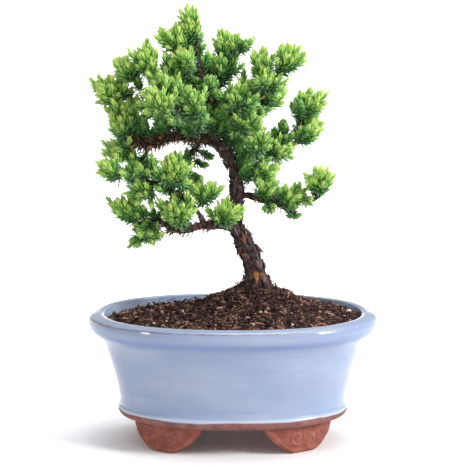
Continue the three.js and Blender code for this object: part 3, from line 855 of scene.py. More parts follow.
LIMB_ROUTES = {
    "left_main": [
        [-29, 8, 118, 3.2], [-36, 6, 122, 3.1], [-45, 3, 122, 3], [-53, 0, 122, 2.8], [-62, -3, 121, 2.6],
        [-69, -6, 118, 2.3], [-75, -9, 117, 2], [-83, -12, 118, 1.7], [-90, -14, 121, 1.4],
    ],
    "far_left": [
        [-45, 3, 122, 2.2], [-52, 8, 131, 1.9], [-63, 10, 139, 1.7], [-76, 9, 143, 1.5],
        [-89, 6, 147, 1.3], [-99, 2, 149, 1.1],
    ],
    "low_left": [
        [-14, -3, 58, 3.2], [-22, -8, 61, 3.1], [-30, -14, 62, 2.8], [-40, -18, 62, 2.6],
        [-50, -20, 59, 2.4], [-58, -22, 61, 2.1], [-68, -22, 66, 1.8], [-77, -20, 65, 1.5],
        [-84, -18, 59, 1.2],
    ],
    "low_left_up": [
        [-36, -16, 62, 2], [-43, -22, 75, 1.8], [-55, -28, 85, 1.6], [-67, -30, 91, 1.4],
        [-81, -30, 96, 1.2], [-94, -28, 100, 1],
    ],
    "low_right": [
        [-15, 0, 79, 2.4], [-7, 0, 81, 2.2], [-3, -2, 80, 2.1], [6, -3, 77, 1.9], [13, -4, 75, 1.6],
        [20, -5, 72, 1.3], [26, -6, 69, 1.1],
    ],
    "low_right_out": [
        [6, -3, 77, 1.5], [17, -5, 78, 1.4], [28, -8, 79, 1.3], [40, -10, 80, 1.2], [47, -12, 87, 1],
    ],
    "right_mid": [
        [-15, 3, 96, 2.6], [-5, 5, 105, 2.4], [5, 8, 110, 2.2], [16, 10, 114, 2], [24, 10, 120, 1.8],
        [28, 10, 129, 1.5], [31, 9, 139, 1.2],
    ],
    "upper_right": [
        [-31, 8, 121, 2.8], [-25, 8, 128, 2.6], [-18, 7, 135, 2.4], [-10, 5, 142, 2.2],
        [-1, 2, 149, 1.9], [7, -2, 156, 1.6], [16, -4, 165, 1.2],
    ],
    "upper_mid": [
        [-33, 6, 139, 2], [-28, 12, 152, 1.8], [-23, 16, 162, 1.6], [-18, 17, 173, 1.3],
        [-16, 16, 182, 1.1],
    ],
    "upper_left": [
        [-34, 5, 144, 2], [-42, -2, 150, 1.8], [-52, -7, 155, 1.7], [-63, -10, 161, 1.4],
        [-73, -12, 166, 1.2], [-81, -12, 170, 1],
    ],
    "front_left": [
        [-32, 7, 128, 2], [-40, -8, 134, 1.9], [-48, -22, 139, 1.7], [-57, -32, 144, 1.4],
        [-64, -36, 150, 1.1],
    ],
    "back": [
        [-30, 8, 119, 2.4], [-27, 21, 127, 2.1], [-20, 30, 133, 1.8], [-8, 34, 139, 1.5],
        [6, 36, 145, 1.2],
    ],
    "back_down": [
        [-38, 5, 121, 1.8], [-44, 14, 112, 1.6], [-50, 20, 102, 1.4], [-54, 22, 92, 1.2],
        [-56, 20, 84, 1],
    ],
}


def placed(route):
    return np.array(route, float) + [TRUNK_X, 0, RIM, 0]


# ---------------------------------------------------------------- trunk and limbs

TRUNK_SIDES = 120
ROOT_SIDES = 24
LIMB_SIDES = 30
TRUNK_FLAKES = 1050
SCAR_PLACE = np.array([TRUNK_X + 0.8, -9, RIM + 25.5])  # an old wound low on the trunk's front
SCAR_HALF = np.array([4.8, 8, 2.6])
WOUND_PLACE = np.array([TRUNK_X - 15, -6, RIM + 61])  # a smaller one higher up
# Swellings and narrow places along the trunk: how far along, how wide, and how much thicker.
KNOTS = [(44, 5, -0.12), (52, 5, -0.1), (64, 4, 0.1), (74, 4, -0.08), (86, 4, 0.12), (101, 4, 0.1),
         (135, 4, 0.14), (152, 3.5, 0.12)]


def bark_tube(route, sides, step, relief, lumps, chips, seed):
    """A limb with lumps, ridges of bark that run along it, and chips that stand up from it."""
    path, radii = spline(placed(route), 12)
    length = np.concatenate([[0], np.cumsum(np.linalg.norm(np.diff(path, axis=0), axis=1))])
    spots = np.linspace(0, length[-1], max(int(length[-1] / step), 8))
    path = np.stack([np.interp(spots, length, path[:, k]) for k in range(3)], 1)
    size = np.interp(spots, length, radii)[:, None]
    turn = circle(sides)

    def around(across, along):
        """Places on the limb, for noise whose lumps are so wide across it and so long along it."""
        down = spots[:, None] / along + 0 * turn
        return np.stack([np.cos(turn) * across, np.sin(turn) * across, down], -1)

    wide = 0 * size
    big = noise(around(wide + 0.9, 9), seed)
    ridges = 1 - 2 * np.abs(rough(around(size / 2.0, 8), 3, seed + 5))
    grainy = rough(around(size / 0.8, 2.5), 2, seed + 9)
    plates = noise(around(size / 2.3, 3.4), seed + 13)
    outward = size * (1 + lumps * big) + relief * (ridges * 0.8 + grainy * 0.35)
    return path, outward + chips * (smoothstep(-0.05, 0.12, plates) - 0.5), spots


def make_root(degrees, reach, radius):
    angle = math.radians(degrees)
    away = np.array([math.cos(angle), math.sin(angle), 0])
    foot = np.array([TRUNK_X, 0, RIM])
    bends = [(2, 13, radius + 2), (8, 10.5, radius), (reach * 0.6, 6.5, radius * 0.8),
             (reach * 0.8, 2.5, radius * 0.6), (reach, -3, radius * 0.5)]
    path, radii = spline([[*(foot + away * out + UP * height), r] for out, height, r in bends], 12)
    turn = circle(ROOT_SIDES)
    flat = 0 * radii[:, None]
    down = np.arange(len(radii))[:, None] / 6 + 0 * turn
    spots = np.stack([np.cos(turn) * 1.8 + flat, np.sin(turn) * 1.8 + flat, down], -1)
    return tube(path, radii[:, None] * (1 + 0.16 * rough(spots, 2, int(degrees))), ROOT_SIDES)


def make_trunk():
    path, outward, spots = bark_tube(TRUNK_ROUTE, TRUNK_SIDES, 0.45, 0.8, 0.16, 1.5, 21)
    for place, width, swell in KNOTS:
        outward = outward * (1 + swell * bell(spots, place, width)[:, None])
    flare = np.exp(-((spots - 16) / 9).clip(0) ** 1.3)[:, None]
    outward = outward * (1 + 0.10 * flare * np.cos(5 * circle(TRUNK_SIDES) + 0.8))
    sheet = tube(path, outward, TRUNK_SIDES)
    away = np.linalg.norm((sheet["verts"] - SCAR_PLACE) / SCAR_HALF, axis=1)
    scar = (1 - smoothstep(0.65, 1.25, away)) * (0.25 + 0.75 * smoothstep(0.25, 0.6, away))
    wound = (sheet["verts"] - WOUND_PLACE) / [1.6, 4, 2.2]
    scar = np.maximum(scar, 0.7 * np.exp(-np.sum(wound**2, axis=1)))
    flakes = bark_flakes(path, outward, TRUNK_FLAKES, 31, 1.35, bare=(SCAR_PLACE, SCAR_HALF))
    whole = joined([sheet, *(make_root(*root) for root in ROOTS), flakes])
    scar = np.append(scar, np.zeros(len(whole["verts"]) - len(scar)))
    piece("bark_trunk", whole, [BARK, FLAKES], ["trunk"], values={"scar": scar})


FLAKE_ROWS, FLAKE_COLUMNS = 5, 3
FLAKE_LOOK = 1  # a limb's second material


def flake_template():
    """A thin closed plate: where each vertex is along and across it, and whether it is on top."""
    s, w = np.meshgrid(np.linspace(-0.5, 0.5, FLAKE_ROWS), np.linspace(-0.5, 0.5, FLAKE_COLUMNS),
                       indexing="ij")
    top = np.stack([s, w, np.ones_like(s)], -1)
    bottom = np.stack([s, w, np.zeros_like(s)], -1)
    ring = np.concatenate([bottom, top[:, ::-1]], 1)
    around = ring.shape[1]
    faces = [grid(ring)["faces"]]
    for row, flip in ((0, True), (FLAKE_ROWS - 1, False)):
        for k in range(FLAKE_COLUMNS - 1):
            a = row * around + k
            d = row * around + around - 1 - k
            quad = np.array([[a, a + 1, d - 1], [a, d - 1, d]])
            faces.append(quad[:, ::-1] if flip else quad)
    return ring.reshape(-1, 3), np.concatenate(faces)


def bark_flakes(path, outward, count, seed, size, bare=None):
    """Loose plates of bark along a limb, each lifting at one end, with none in the bare oval."""
    rng = np.random.default_rng(seed)
    along, across, up = frames_along(path)
    sides = outward.shape[1]
    ring = rng.integers(int(len(path) * 0.06), len(path) - 3, count)
    column = rng.integers(0, sides, count)
    turn = column[:, None] / sides * 2 * math.pi
    normal = across[ring] * np.cos(turn) + up[ring] * np.sin(turn)
    around = np.cross(along[ring], normal)
    radius = outward[ring, column]
    foot = path[ring] + normal * (radius[:, None] - 0.1)
    long = rng.uniform(2.2, 6.5, count) * size * np.clip(radius / 6, 0.45, 1.2)
    wide = long * rng.uniform(0.25, 0.5, count)
    lift = rng.uniform(0.1, 1.0, count) ** 2.5 * 2.8 * size
    tilt = rng.normal(0, 0.22, count)[:, None]
    direction = along[ring] * np.cos(tilt) + around * np.sin(tilt)
    direction *= rng.choice([-1, 1], count)[:, None]
    template, faces = flake_template()
    s, w, top = (template[:, k][None] for k in range(3))
    taper = 1 - 0.75 * np.abs(2 * s) ** 2.5
    fall = (w * wide[:, None]) ** 2 / (2 * radius[:, None])
    height = lift[:, None] * (s + 0.5) ** 1.5 - fall + 0.28 * top * (1 - 0.8 * np.abs(2 * w) ** 2)
    verts = foot[:, None] + direction[:, None] * (s * long[:, None])[..., None]
    verts = verts + np.cross(normal, direction)[:, None] * (w * taper * wide[:, None])[..., None]
    verts = verts + normal[:, None] * height[..., None]
    tone = rng.beta(1.5, 2.6, count)
    if bare:
        kept = np.linalg.norm((foot - bare[0]) / bare[1], axis=1) > 1
        verts, tone = verts[kept], tone[kept]
    return many(verts, faces, template[:, 0] + 0.5, tone, FLAKE_LOOK)


def many(verts, faces, u, tone, look):
    """Copies of one small closed shape, each with its own tone. The faces overlap on the map, where
    the same place always has the same colour."""
    count, size = verts.shape[:2]
    all_faces = (faces[None] + np.arange(count)[:, None, None] * size).reshape(-1, 3)
    corner_u = np.tile(0.02 + 0.96 * u[faces], (count, 1, 1)).reshape(-1, 3) + [-0.004, 0.004, 0.0]
    corner_v = 0.02 + 0.96 * np.repeat(tone, len(faces))[:, None] + [-0.008, 0.0, 0.008]
    uv = np.stack([corner_u, corner_v], -1).clip(0.001, 0.999)
    return chunk(verts.reshape(-1, 3), all_faces, uv, look)


def make_limbs():
    for index, (name, route) in enumerate(LIMB_ROUTES.items()):
        path, outward, spots = bark_tube(route, LIMB_SIDES, 0.7, 0.25, 0.12, 0.4, 40 + index)
        outward = outward * (1 + 0.35 * np.exp(-spots / 3.0)[:, None])
        count = int(len(path) * (1.6 if name == "left_main" else 0.8))
        parts = joined([tube(path, outward, LIMB_SIDES), bark_flakes(path, outward, count, 70 + index, 0.7)])
        piece("bark_" + name, parts, [BARK, FLAKES], ["branch_" + name],
              values={"scar": np.zeros(len(parts["verts"]))})


# ---------------------------------------------------------------- needles

# A needle is three rings of three corners and a point. Corners 0 and 1 edge its flat inner face.
SECTIONS = np.array([0.0, 0.32, 0.7])
SECTION_WIDTHS = np.array([0.5, 1.0, 0.78])
CORNERS = np.array([[0.5, 0.22], [-0.5, 0.22], [0.0, -0.42]])


def needle_template():
    s = np.append(np.repeat(SECTIONS, 3), 1.0)
    wide, thick = (np.append(np.outer(SECTION_WIDTHS, CORNERS[:, k]).ravel(), 0) for k in (0, 1))
    faces, inner = [], []
    for i in range(2):
        for k in range(3):
            a, b = 3 * i + k, 3 * i + (k + 1) % 3
            faces += [[a, b, b + 3], [a, b + 3, a + 3]]
            inner += [k == 0] * 2
    for k in range(3):
        faces.append([6 + k, 6 + (k + 1) % 3, 9])
        inner.append(k == 0)
    faces.append([2, 1, 0])
    inner.append(False)
    return s, wide, thick, np.array(faces), np.array(inner)


NEEDLE_S, NEEDLE_WIDE, NEEDLE_THICK, NEEDLE_FACES, NEEDLE_INNER = needle_template()
CORNER_V = np.append(np.tile([0.012, -0.012, 0.0], 3), 0.004)


def needles(foot, direction, inward, length, width, curl, fresh_low, fresh_high, tone):
    """Many needles at once: each leaves its foot along its direction and curls inward."""
    inward = unit(inward - direction * dot(inward, direction))
    across = np.cross(inward, direction)
    s = NEEDLE_S[None]
    run = (s * length[:, None])[..., None]
    drift = (curl[:, None] * s**2 * length[:, None])[..., None]
    verts = foot[:, None] + direction[:, None] * run + inward[:, None] * drift
    verts = verts + across[:, None] * (NEEDLE_WIDE[None] * width[:, None])[..., None]
    verts = verts + inward[:, None] * (NEEDLE_THICK[None] * width[:, None])[..., None]
    faces = (NEEDLE_FACES[None] + np.arange(len(foot))[:, None, None] * len(NEEDLE_S)).reshape(-1, 3)
    fresh = fresh_low[:, None] + (fresh_high - fresh_low)[:, None] * s
    corner_u = fresh[:, NEEDLE_FACES] * OUTER_TO + np.where(NEEDLE_INNER, INNER_FROM, 0)[None, :, None]
    corner_v = np.broadcast_to(tone[:, None, None] + CORNER_V[NEEDLE_FACES][None], corner_u.shape)
    uv = np.stack([corner_u, corner_v], -1).reshape(-1, 3, 2).clip(0.002, 0.998)
    return chunk(verts.reshape(-1, 3), faces, uv)


def turned(axis, start, angle):
    """start turned about each axis by each angle. start is square to the axis."""
    angle = angle[:, None]
    return start * np.cos(angle) + np.cross(axis, start) * np.sin(angle)


def square_to(axis):
    helper = np.where(np.abs(axis[:, 2:]) > 0.85, np.array([1.0, 0, 0]), UP)
    return unit(np.cross(axis, helper))


def leaning(axis, outward, degrees):
    """Directions that lean from each axis towards each outward direction."""
    angle = np.radians(degrees)[:, None]
    return axis * np.cos(angle) + outward * np.sin(angle)


# A shoot's whorls of three needles, from its open foot to the closed bud at its tip: the place along the
# shoot, the spread in degrees, a needle's length and width, its freshness at both ends, and a tone shift,
# which paints shade on the lower whorls and light on the upper ones.
WHORLS = [
    (0.02, 64, 5.5, 0.94, 0.00, 0.50, -0.36),
    (0.13, 57, 6.1, 0.98, 0.04, 0.58, -0.30),
    (0.24, 48, 6.7, 1.06, 0.10, 0.68, -0.22),
    (0.36, 36, 7.2, 1.16, 0.20, 0.80, -0.12),
    (0.47, 24, 7.5, 1.30, 0.34, 0.92, -0.01),
    (0.58, 15, 7.3, 1.42, 0.46, 1.00, 0.07),
    (0.68, 9, 6.7, 1.42, 0.56, 1.00, 0.13),
    (0.77, 4, 5.9, 1.30, 0.62, 1.00, 0.16),
]
WHORL_TURN = 1.05  # from each whorl to the next, in radians
SHOOT_LENGTH = 10.5  # of a shoot with needles of the lengths above
TWIG_LOOK = 1  # the second material of a piece of foliage


def shoots(rng, foot, axis, length, tone):
    """Fresh shoots, whose needles spread at the foot and close over each other at the tip."""
    count = len(foot)
    radial = square_to(axis)
    lean = unit(UP - axis * dot(UP, axis))
    spin = rng.uniform(0, 2 * math.pi, count)
    parts = []
    for index, (place, spread, size, width, low, high, shift) in enumerate(WHORLS):
        rise = lean * (0.1 * place**2 * length)[:, None]
        spot = foot + axis * (place * length)[:, None] + rise
        local = unit(axis + lean * 0.2 * place)
        for k in range(3):
            angle = spin + index * WHORL_TURN + k * 2 * math.pi / 3 + rng.normal(0, 0.12, count)
            outward = turned(axis, radial, angle)
            direction = unit(leaning(local, outward, spread * rng.uniform(0.8, 1.2, count)))
            parts.append(needles(
                spot + outward * 0.35, direction, -outward,
                size * rng.uniform(0.85, 1.12, count) * (length / SHOOT_LENGTH) ** 0.5,
                width * rng.uniform(0.88, 1.12, count), rng.uniform(0.04, 0.16, count),
                (low + rng.normal(0, 0.04, count)).clip(0, 1),
                (high + rng.normal(0, 0.05, count)).clip(0, 1),
                (tone + shift + rng.normal(0, 0.05, count)).clip(0.02, 0.98),
            ))
    tips = foot + axis * length[:, None] + lean * (0.1 * length)[:, None]
    paths = bow(foot, foot + axis * (0.55 * length)[:, None], tips, 4)
    parts.append(stems(paths, 0.42, 0.2, TWIG_LOOK, (0.9, 0.5)))
    return parts


def old_needles(rng, paths, spacing, spread_degrees, tone_low, tone_high, length=5.8):
    """Whorls of older needles that stand out from twigs: paths is [twig, step, xyz]."""
    along = unit(np.gradient(paths, axis=1))
    reach = np.linalg.norm(np.diff(paths, axis=1), axis=2).sum(axis=1)
    spots = [np.arange(spacing * 0.6, size, spacing) / size for size in reach]
    twig = np.repeat(np.arange(len(paths)), [len(places) for places in spots])
    count = len(twig)
    if not count:
        return []
    place = np.concatenate(spots) * (paths.shape[1] - 1)
    step = np.minimum(place.astype(int), paths.shape[1] - 2)
    part = (place - step)[:, None]
    foot = paths[twig, step] * (1 - part) + paths[twig, step + 1] * part
    axis = unit(along[twig, step])
    radial = square_to(axis)
    spin = rng.uniform(0, 2 * math.pi, count)
    parts = []
    for k in range(3):
        outward = turned(axis, radial, spin + k * 2 * math.pi / 3 + rng.normal(0, 0.3, count))
        direction = unit(leaning(axis, outward, spread_degrees * rng.uniform(0.75, 1.2, count)))
        size = length * rng.uniform(0.75, 1.15, count)
        tone = rng.uniform(tone_low, tone_high, count)
        parts.append(needles(
            foot + outward * 0.3, direction, -outward + axis, size,
            rng.uniform(0.95, 1.25, count), rng.uniform(-0.05, 0.12, count),
            rng.uniform(0.0, 0.2, count), rng.uniform(0.35, 0.75, count), tone,
        ))
    return parts


# ---------------------------------------------------------------- foliage pads

UNDER_FLATTENING = 0.75  # a pad's underside is this much flatter than its top
CANOPY_MIDDLE = np.array([-14.0, 0, 222])
CANOPY_HALF = np.array([84.0, 52, 72])
PAD_GROWTH = np.array([1.16, 1.1, 1.08])
PAD_EXTRA = {  # pads that spread wider or less wide than the rest
    "foliage_top_left_outer": 1.25,
    "foliage_far_left_low": 1.15,
    "foliage_apex_tip": 0.95,
    "foliage_low_left_front": 1.12,
}
PAD_DROP = 2.5  # shoots turn up, so a pad's twigs start lower
PAD_SHOOTS = (9.5, 13)  # their shortest and longest
TWIG_AREA = 54  # square millimetres of a pad's middle sections for each twig
FEWEST_TWIGS = 7
SHOOT_REACH = 9  # how far inside a pad's shell its twigs end
TWIG_STEPS = 7
GOLDEN_ANGLE = 2.399963
# Side shoots on a twig: its step, the share of twigs with one, and how much painted shade darkens it.
SIDE_SHOOTS = [(5, 0.9, 0.02), (4, 0.8, 0.07), (3, 0.65, 0.13), (2, 0.35, 0.2)]


def limb_cloud():
    """Points along every limb, to find the one that a pad grows from."""
    routes = [TRUNK_ROUTE[8:], *LIMB_ROUTES.values()]
    return np.concatenate([spline(placed(route), 8)[0] for route in routes])


LIMB_POINTS = limb_cloud()


def ball_directions(rng, count):
    """Directions spread evenly over a ball, most of them upward."""
    k = np.arange(count) + 0.5
    z = 1 - 1.45 * k / count
    turn = k * GOLDEN_ANGLE + rng.uniform(0, 2 * math.pi)
    flat = np.sqrt(np.clip(1 - z * z, 0, 1))
    away = np.stack([flat * np.cos(turn), flat * np.sin(turn), z], 1)
    return unit(away + rng.normal(0, 0.16, away.shape))


def sunlight(tips):
    """How fresh and bright a shoot at each place is, which paints light and shade on it: high outside the
    canopy and towards its top, low deep inside it.
    """
    out = (tips - CANOPY_MIDDLE) / CANOPY_HALF
    return 0.62 * smoothstep(0.35, 1.05, np.linalg.norm(out, axis=1)) + 0.12 * np.clip(out[:, 2], -1, 1)


def leafy_twigs(rng, twigs, outward, low_size, high_size, brightness):
    """Twigs with old needles, a shoot at the end of each and flat sprays of shoots at its sides."""
    count = len(twigs)
    reach = np.linalg.norm(twigs[:, -1] - twigs[:, 0], axis=1)
    along = unit(np.gradient(twigs, axis=1))
    feet, sizes, shades = [twigs[:, -1]], [rng.uniform(low_size, high_size, count)], [np.zeros(count)]
    axes = [unit(outward * 0.55 + along[:, -1] * 0.5 + UP * 0.22)]
    for k, (step, chance, shade) in enumerate(SIDE_SHOOTS):
        chosen = (rng.uniform(0, 1, count) < chance) & (reach > 1.6 * (TWIG_STEPS - 1 - step))
        axis = along[:, step]
        side = turned(axis, square_to(axis), rng.uniform(-0.7, 0.7, count) + math.pi * (k % 2))
        away = unit(axis * 0.85 + side * 0.72 + UP * 0.22 + outward * 0.25)
        feet.append(twigs[chosen, step])
        axes.append(away[chosen])
        sizes.append(rng.uniform(low_size, high_size, int(chosen.sum())) * 0.84)
        shades.append(np.full(int(chosen.sum()), shade))
    feet, axes, sizes, shades = (np.concatenate(items) for items in (feet, axes, sizes, shades))
    # Painted light and shade: each shoot's tone, from where it sits, darker on side shoots lower on the twig.
    lit = brightness(feet + axes * sizes[:, None]) - shades + rng.normal(0, 0.14, len(feet))
    parts = [stems(twigs, 0.55, 0.4, TWIG_LOOK, (0.4, 0.5))]
    # old needles get tones near the painted-shade end
    parts += old_needles(rng, twigs, 1.9, 58, 0.0, 0.3)
    parts += shoots(rng, feet, axes, sizes, lit.clip(0.04, 0.95))
    return parts


def make_pad(node, index):
    """One cluster of shoots: twigs fan out from the nearest limb to the pad's shell."""
    rng = np.random.default_rng(500 + index)
    low, high = node_box(node)
    half = (high - low) / 2 * PAD_GROWTH * PAD_EXTRA.get(node, 1)
    centre = (low + high) / 2
    centre[2] = low[2] + (high[2] - low[2]) * UNDER_FLATTENING / (1 + UNDER_FLATTENING) - PAD_DROP
    anchor = LIMB_POINTS[np.argmin(np.linalg.norm(LIMB_POINTS - centre, axis=1))]
    away = unit((centre - CANOPY_MIDDLE) * [1, 1, 0.4])
    area = half[0] * half[1] + half[0] * half[2] + half[1] * half[2]
    count = max(int(area / TWIG_AREA), FEWEST_TWIGS)
    heading = unit(ball_directions(rng, count) + away * 0.35)
    below = heading[:, 2:] < 0
    shell = 1 / np.linalg.norm(heading / np.where(below, half * [1, 1, UNDER_FLATTENING], half), axis=1)
    out = (shell * rng.uniform(0.7, 1.08, count) - SHOOT_REACH).clip(2)
    out *= 1 - 0.3 * below[:, 0]
    ends = centre + heading * out[:, None]
    core = centre - UP * half[2] * 0.45 - away * half[0] * 0.3
    starts = anchor + (core - anchor) * rng.uniform(0.2, 1.0, (count, 1))
    middles = (starts + ends) / 2 + heading * 2 - UP * rng.uniform(0.5, 2.5, (count, 1))
    leader = bow(anchor[None], ((anchor + core) / 2 + UP)[None], core[None], 6)

    # Painted light and shade: shoots high and outside in the pad are lighter.
    def brightness(tips):
        exposed = (tips - centre) / half
        return 0.18 + 0.13 * exposed[:, 2] + 0.12 * np.linalg.norm(exposed, axis=1) + sunlight(tips)

    twigs = bow(starts, middles, ends, TWIG_STEPS)
    parts = [stems(leader, 1.0, 0.6, TWIG_LOOK, (0.15, 0.5))]
    parts += leafy_twigs(rng, twigs, heading, *PAD_SHOOTS, brightness)
    piece(node.replace("foliage_", "shoots_"), joined(parts), [NEEDLES, TWIGS], [node])


def make_foliage():
    nodes = sorted(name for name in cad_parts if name.startswith("foliage_"))
    for index, node in enumerate(nodes):
        make_pad(node, index)


make_trunk()
make_limbs()
make_foliage()

# ---------------------------------------------------------------- soil

SOIL_BELOW_RIM = 5
MOUND_HEIGHT = 23
MOUND_SPREAD = 26
SOIL_RINGS = 150
SOIL_COLUMNS = 360
SOIL_SKIRT = 12  # how far the bed's side goes down inside the pot
SOIL_HALF, SOIL_HALF_DEPTH, _ = node_box("soil")[1]
PALE_CRUMBS = 0.006  # the share of crumbs that are white grit
FIBRES = 1800
FIBRE_TONES = 12


def soil_height(x, y):
    """The soil's surface: a mound at the trunk, a lower edge at the left and back, and lumps."""
    away = np.hypot(x - TRUNK_X, y)
    edge = np.hypot(x / SOIL_HALF, y / SOIL_HALF_DEPTH)
    ground = RIM - SOIL_BELOW_RIM + MOUND_HEIGHT * np.exp(-((away / MOUND_SPREAD) ** 2) / 2)
    ground = ground + 2.2 * bell(x, -25, 40) * bell(y, 20, 30)
    ground = ground - 3.2 * smoothstep(0.72, 1.0, edge) * smoothstep(10, 60, 0.5 * y - x * 0.7)
    spots = np.stack([x, y, 0 * x], -1)
    return ground + 1.5 * rough(spots / 11, 2, 51) + 1.2 * rough(spots / 3.6, 3, 52)


def make_soil_bed():
    share = np.linspace(1, 0, SOIL_RINGS) ** 0.8
    x, y = on_oval(share[:-1, None] * (SOIL_HALF - 0.2), circle(SOIL_COLUMNS)[None])
    top = np.stack([x, y, soil_height(x, y)], -1)
    skirt = top[0] * [0.97, 0.97, 0] + UP * (RIM - SOIL_BELOW_RIM - SOIL_SKIRT)
    sheet = grid(np.concatenate([skirt[None], top]))
    ring = np.arange(SOIL_COLUMNS)
    peak = np.array([0, 0, float(soil_height(np.zeros(1), np.zeros(1))[0])])
    sheet = lid(lid(sheet, ring, True), ring + (SOIL_RINGS - 1) * SOIL_COLUMNS, False, peak)
    piece("soil_bed", sheet, [soil_material()], ["soil"])


def random_turns(rng, count):
    """Random rotation matrices."""
    w, x, y, z = unit(rng.normal(0, 1, (count, 4))).T
    return np.stack([
        np.stack([1 - 2 * (y * y + z * z), 2 * (x * y - z * w), 2 * (x * z + y * w)], -1),
        np.stack([2 * (x * y + z * w), 1 - 2 * (x * x + z * z), 2 * (y * z - x * w)], -1),
        np.stack([2 * (x * z - y * w), 2 * (y * z + x * w), 1 - 2 * (x * x + y * y)], -1),
    ], 1)


def flat_turns(rng, count):
    """Matrices that turn a crumb about the upright axis and tilt it a little."""
    heading = rng.uniform(0, 2 * math.pi, count)
    flat = np.zeros((count, 3, 3))
    flat[:, 0, 0] = flat[:, 1, 1] = np.cos(heading)
    flat[:, 1, 0], flat[:, 0, 1], flat[:, 2, 2] = np.sin(heading), -np.sin(heading), 1
    slope = unit(rng.normal(0, 0.16, (count, 3)) + UP)
    flat[:, 2, :2] -= slope[:, :2]
    return flat


def icosahedron():
    g = (1 + math.sqrt(5)) / 2
    verts = [[-1, g, 0], [1, g, 0], [-1, -g, 0], [1, -g, 0], [0, -1, g], [0, 1, g], [0, -1, -g],
             [0, 1, -g], [g, 0, -1], [g, 0, 1], [-g, 0, -1], [-g, 0, 1]]
    faces = [[0, 11, 5], [0, 5, 1], [0, 1, 7], [0, 7, 10], [0, 10, 11], [1, 5, 9], [5, 11, 4],
             [11, 10, 2], [10, 7, 6], [7, 1, 8], [3, 9, 4], [3, 4, 2], [3, 2, 6], [3, 6, 8], [3, 8, 9],
             [4, 9, 5], [2, 4, 11], [6, 2, 10], [8, 6, 7], [9, 8, 1]]
    return unit(np.array(verts, float)), np.array(faces)


def share_of_soil(spots):
    """Below 1 inside the soil's plan, and 1 at its edge."""
    return (np.abs(spots) ** FULLNESS).sum(axis=1)


def soil_spots(rng, count, keep_off_trunk):
    spots = np.empty((0, 2))
    while len(spots) < count:
        tries = rng.uniform(-1, 1, (count * 2, 2))
        tries = tries[share_of_soil(tries) < 0.985] * [SOIL_HALF - 1, SOIL_HALF_DEPTH - 1]
        away = np.hypot(tries[:, 0] - TRUNK_X, tries[:, 1])
        spots = np.concatenate([spots, tries[away > keep_off_trunk]])
    return spots[:count]


def make_crumbs(name, count, seed, low, high, shape, tone_shift, sink):
    """Loose bits on the soil, from crumbs to flat slivers of bark: shape is (long, wide, thick)."""
    rng = np.random.default_rng(seed)
    spots = soil_spots(rng, count, 9)
    size = low + (high - low) * rng.beta(1.2, 3.2, count)
    template, faces = icosahedron()
    stretch = np.array(shape)[None] * rng.uniform(0.7, 1.3, (count, 3))
    verts = template[None] * (1 + rng.uniform(-0.42, 0.42, (count, len(template), 1)))
    verts = verts * (stretch * size[:, None])[:, None] / 2
    turns = random_turns(rng, count)
    lie_flat = rng.uniform(0, 1, count) < 0.8
    turns = np.where(lie_flat[:, None, None], flat_turns(rng, count), turns)
    verts = np.einsum("nij,nkj->nki", turns, verts)
    foot = np.column_stack([spots, soil_height(*spots.T) + size * sink])
    tone = (rng.beta(1.5, 2.4, count) + tone_shift).clip(0, 0.965)
    tone = np.where(rng.uniform(0, 1, count) < PALE_CRUMBS, 1.0, tone)
    parts = many(verts + foot[:, None], faces, np.full(len(template), 0.5), tone, 0)
    piece(name, parts, [crumb_material()], ["soil"], smooth=False)


def make_fibres():
    """Fine roots and strands of peat that lie on the soil and stick up out of it."""
    rng = np.random.default_rng(91)
    spots = soil_spots(rng, FIBRES, 6)
    near = rng.uniform(0, 1, FIBRES) < 0.3
    around = rng.uniform(0, 2 * math.pi, FIBRES)
    away = np.abs(rng.normal(0, 11, FIBRES)) + 8
    close = np.stack([TRUNK_X + away * np.cos(around), away * np.sin(around)], 1)
    spots = np.where(near[:, None], close, spots)
    heading = rng.uniform(0, 2 * math.pi, FIBRES)
    far = spots + np.stack([np.cos(heading), np.sin(heading)], 1) * rng.uniform(3, 10, FIBRES)[:, None]
    inside = share_of_soil(far / [SOIL_HALF, SOIL_HALF_DEPTH]) < 0.96
    spots, far = spots[inside], far[inside]
    count = len(spots)
    starts = np.column_stack([spots, soil_height(*spots.T) + 0.2])
    ends = np.column_stack([far, soil_height(*far.T) + rng.uniform(0, 1, count) ** 3 * 5])
    middles = (starts + ends) / 2 + rng.normal(0, 1, (count, 3)) * [2.2, 2.2, 0.8]
    middles[:, 2] = np.maximum(starts[:, 2], ends[:, 2]) + rng.uniform(0, 2.4, count)
    paths = bow(starts, middles, ends, 6)
    tone = rng.beta(2.2, 2.6, count)
    parts = []
    for group in np.array_split(np.argsort(tone), FIBRE_TONES):
        level = float(tone[group].mean()) * 0.92
        thick = rng.uniform(0.14, 0.34, len(group))
        parts.append(stems(paths[group], thick, thick * 0.6, 0, (0.5, level)))
    piece("soil_fibres", joined(parts), [crumb_material()], ["soil"])


make_soil_bed()
make_crumbs("soil_crumbs", 6800, 81, 0.9, 4.6, (1.15, 1.0, 0.75), -0.02, 0.12)
make_crumbs("soil_bark_bits", 2600, 82, 2.2, 8.5, (1.25, 0.38, 0.24), 0.06, 0.1)
make_fibres()

# ---------------------------------------------------------------- small things on the limbs

# Where dry needles hold on: the limb, their spacing and spread, and where they start and stop along it.
DRY_NEEDLES = (
    ("left_main", 0.36, 70, (0.05, 0.9)),
    ("low_left", 1.6, 70, (0.15, 0.7)),
    ("upper_right", 0.7, 66, (0.02, 0.45)),
    ("back_down", 1.2, 66, (0.0, 0.9)),
)


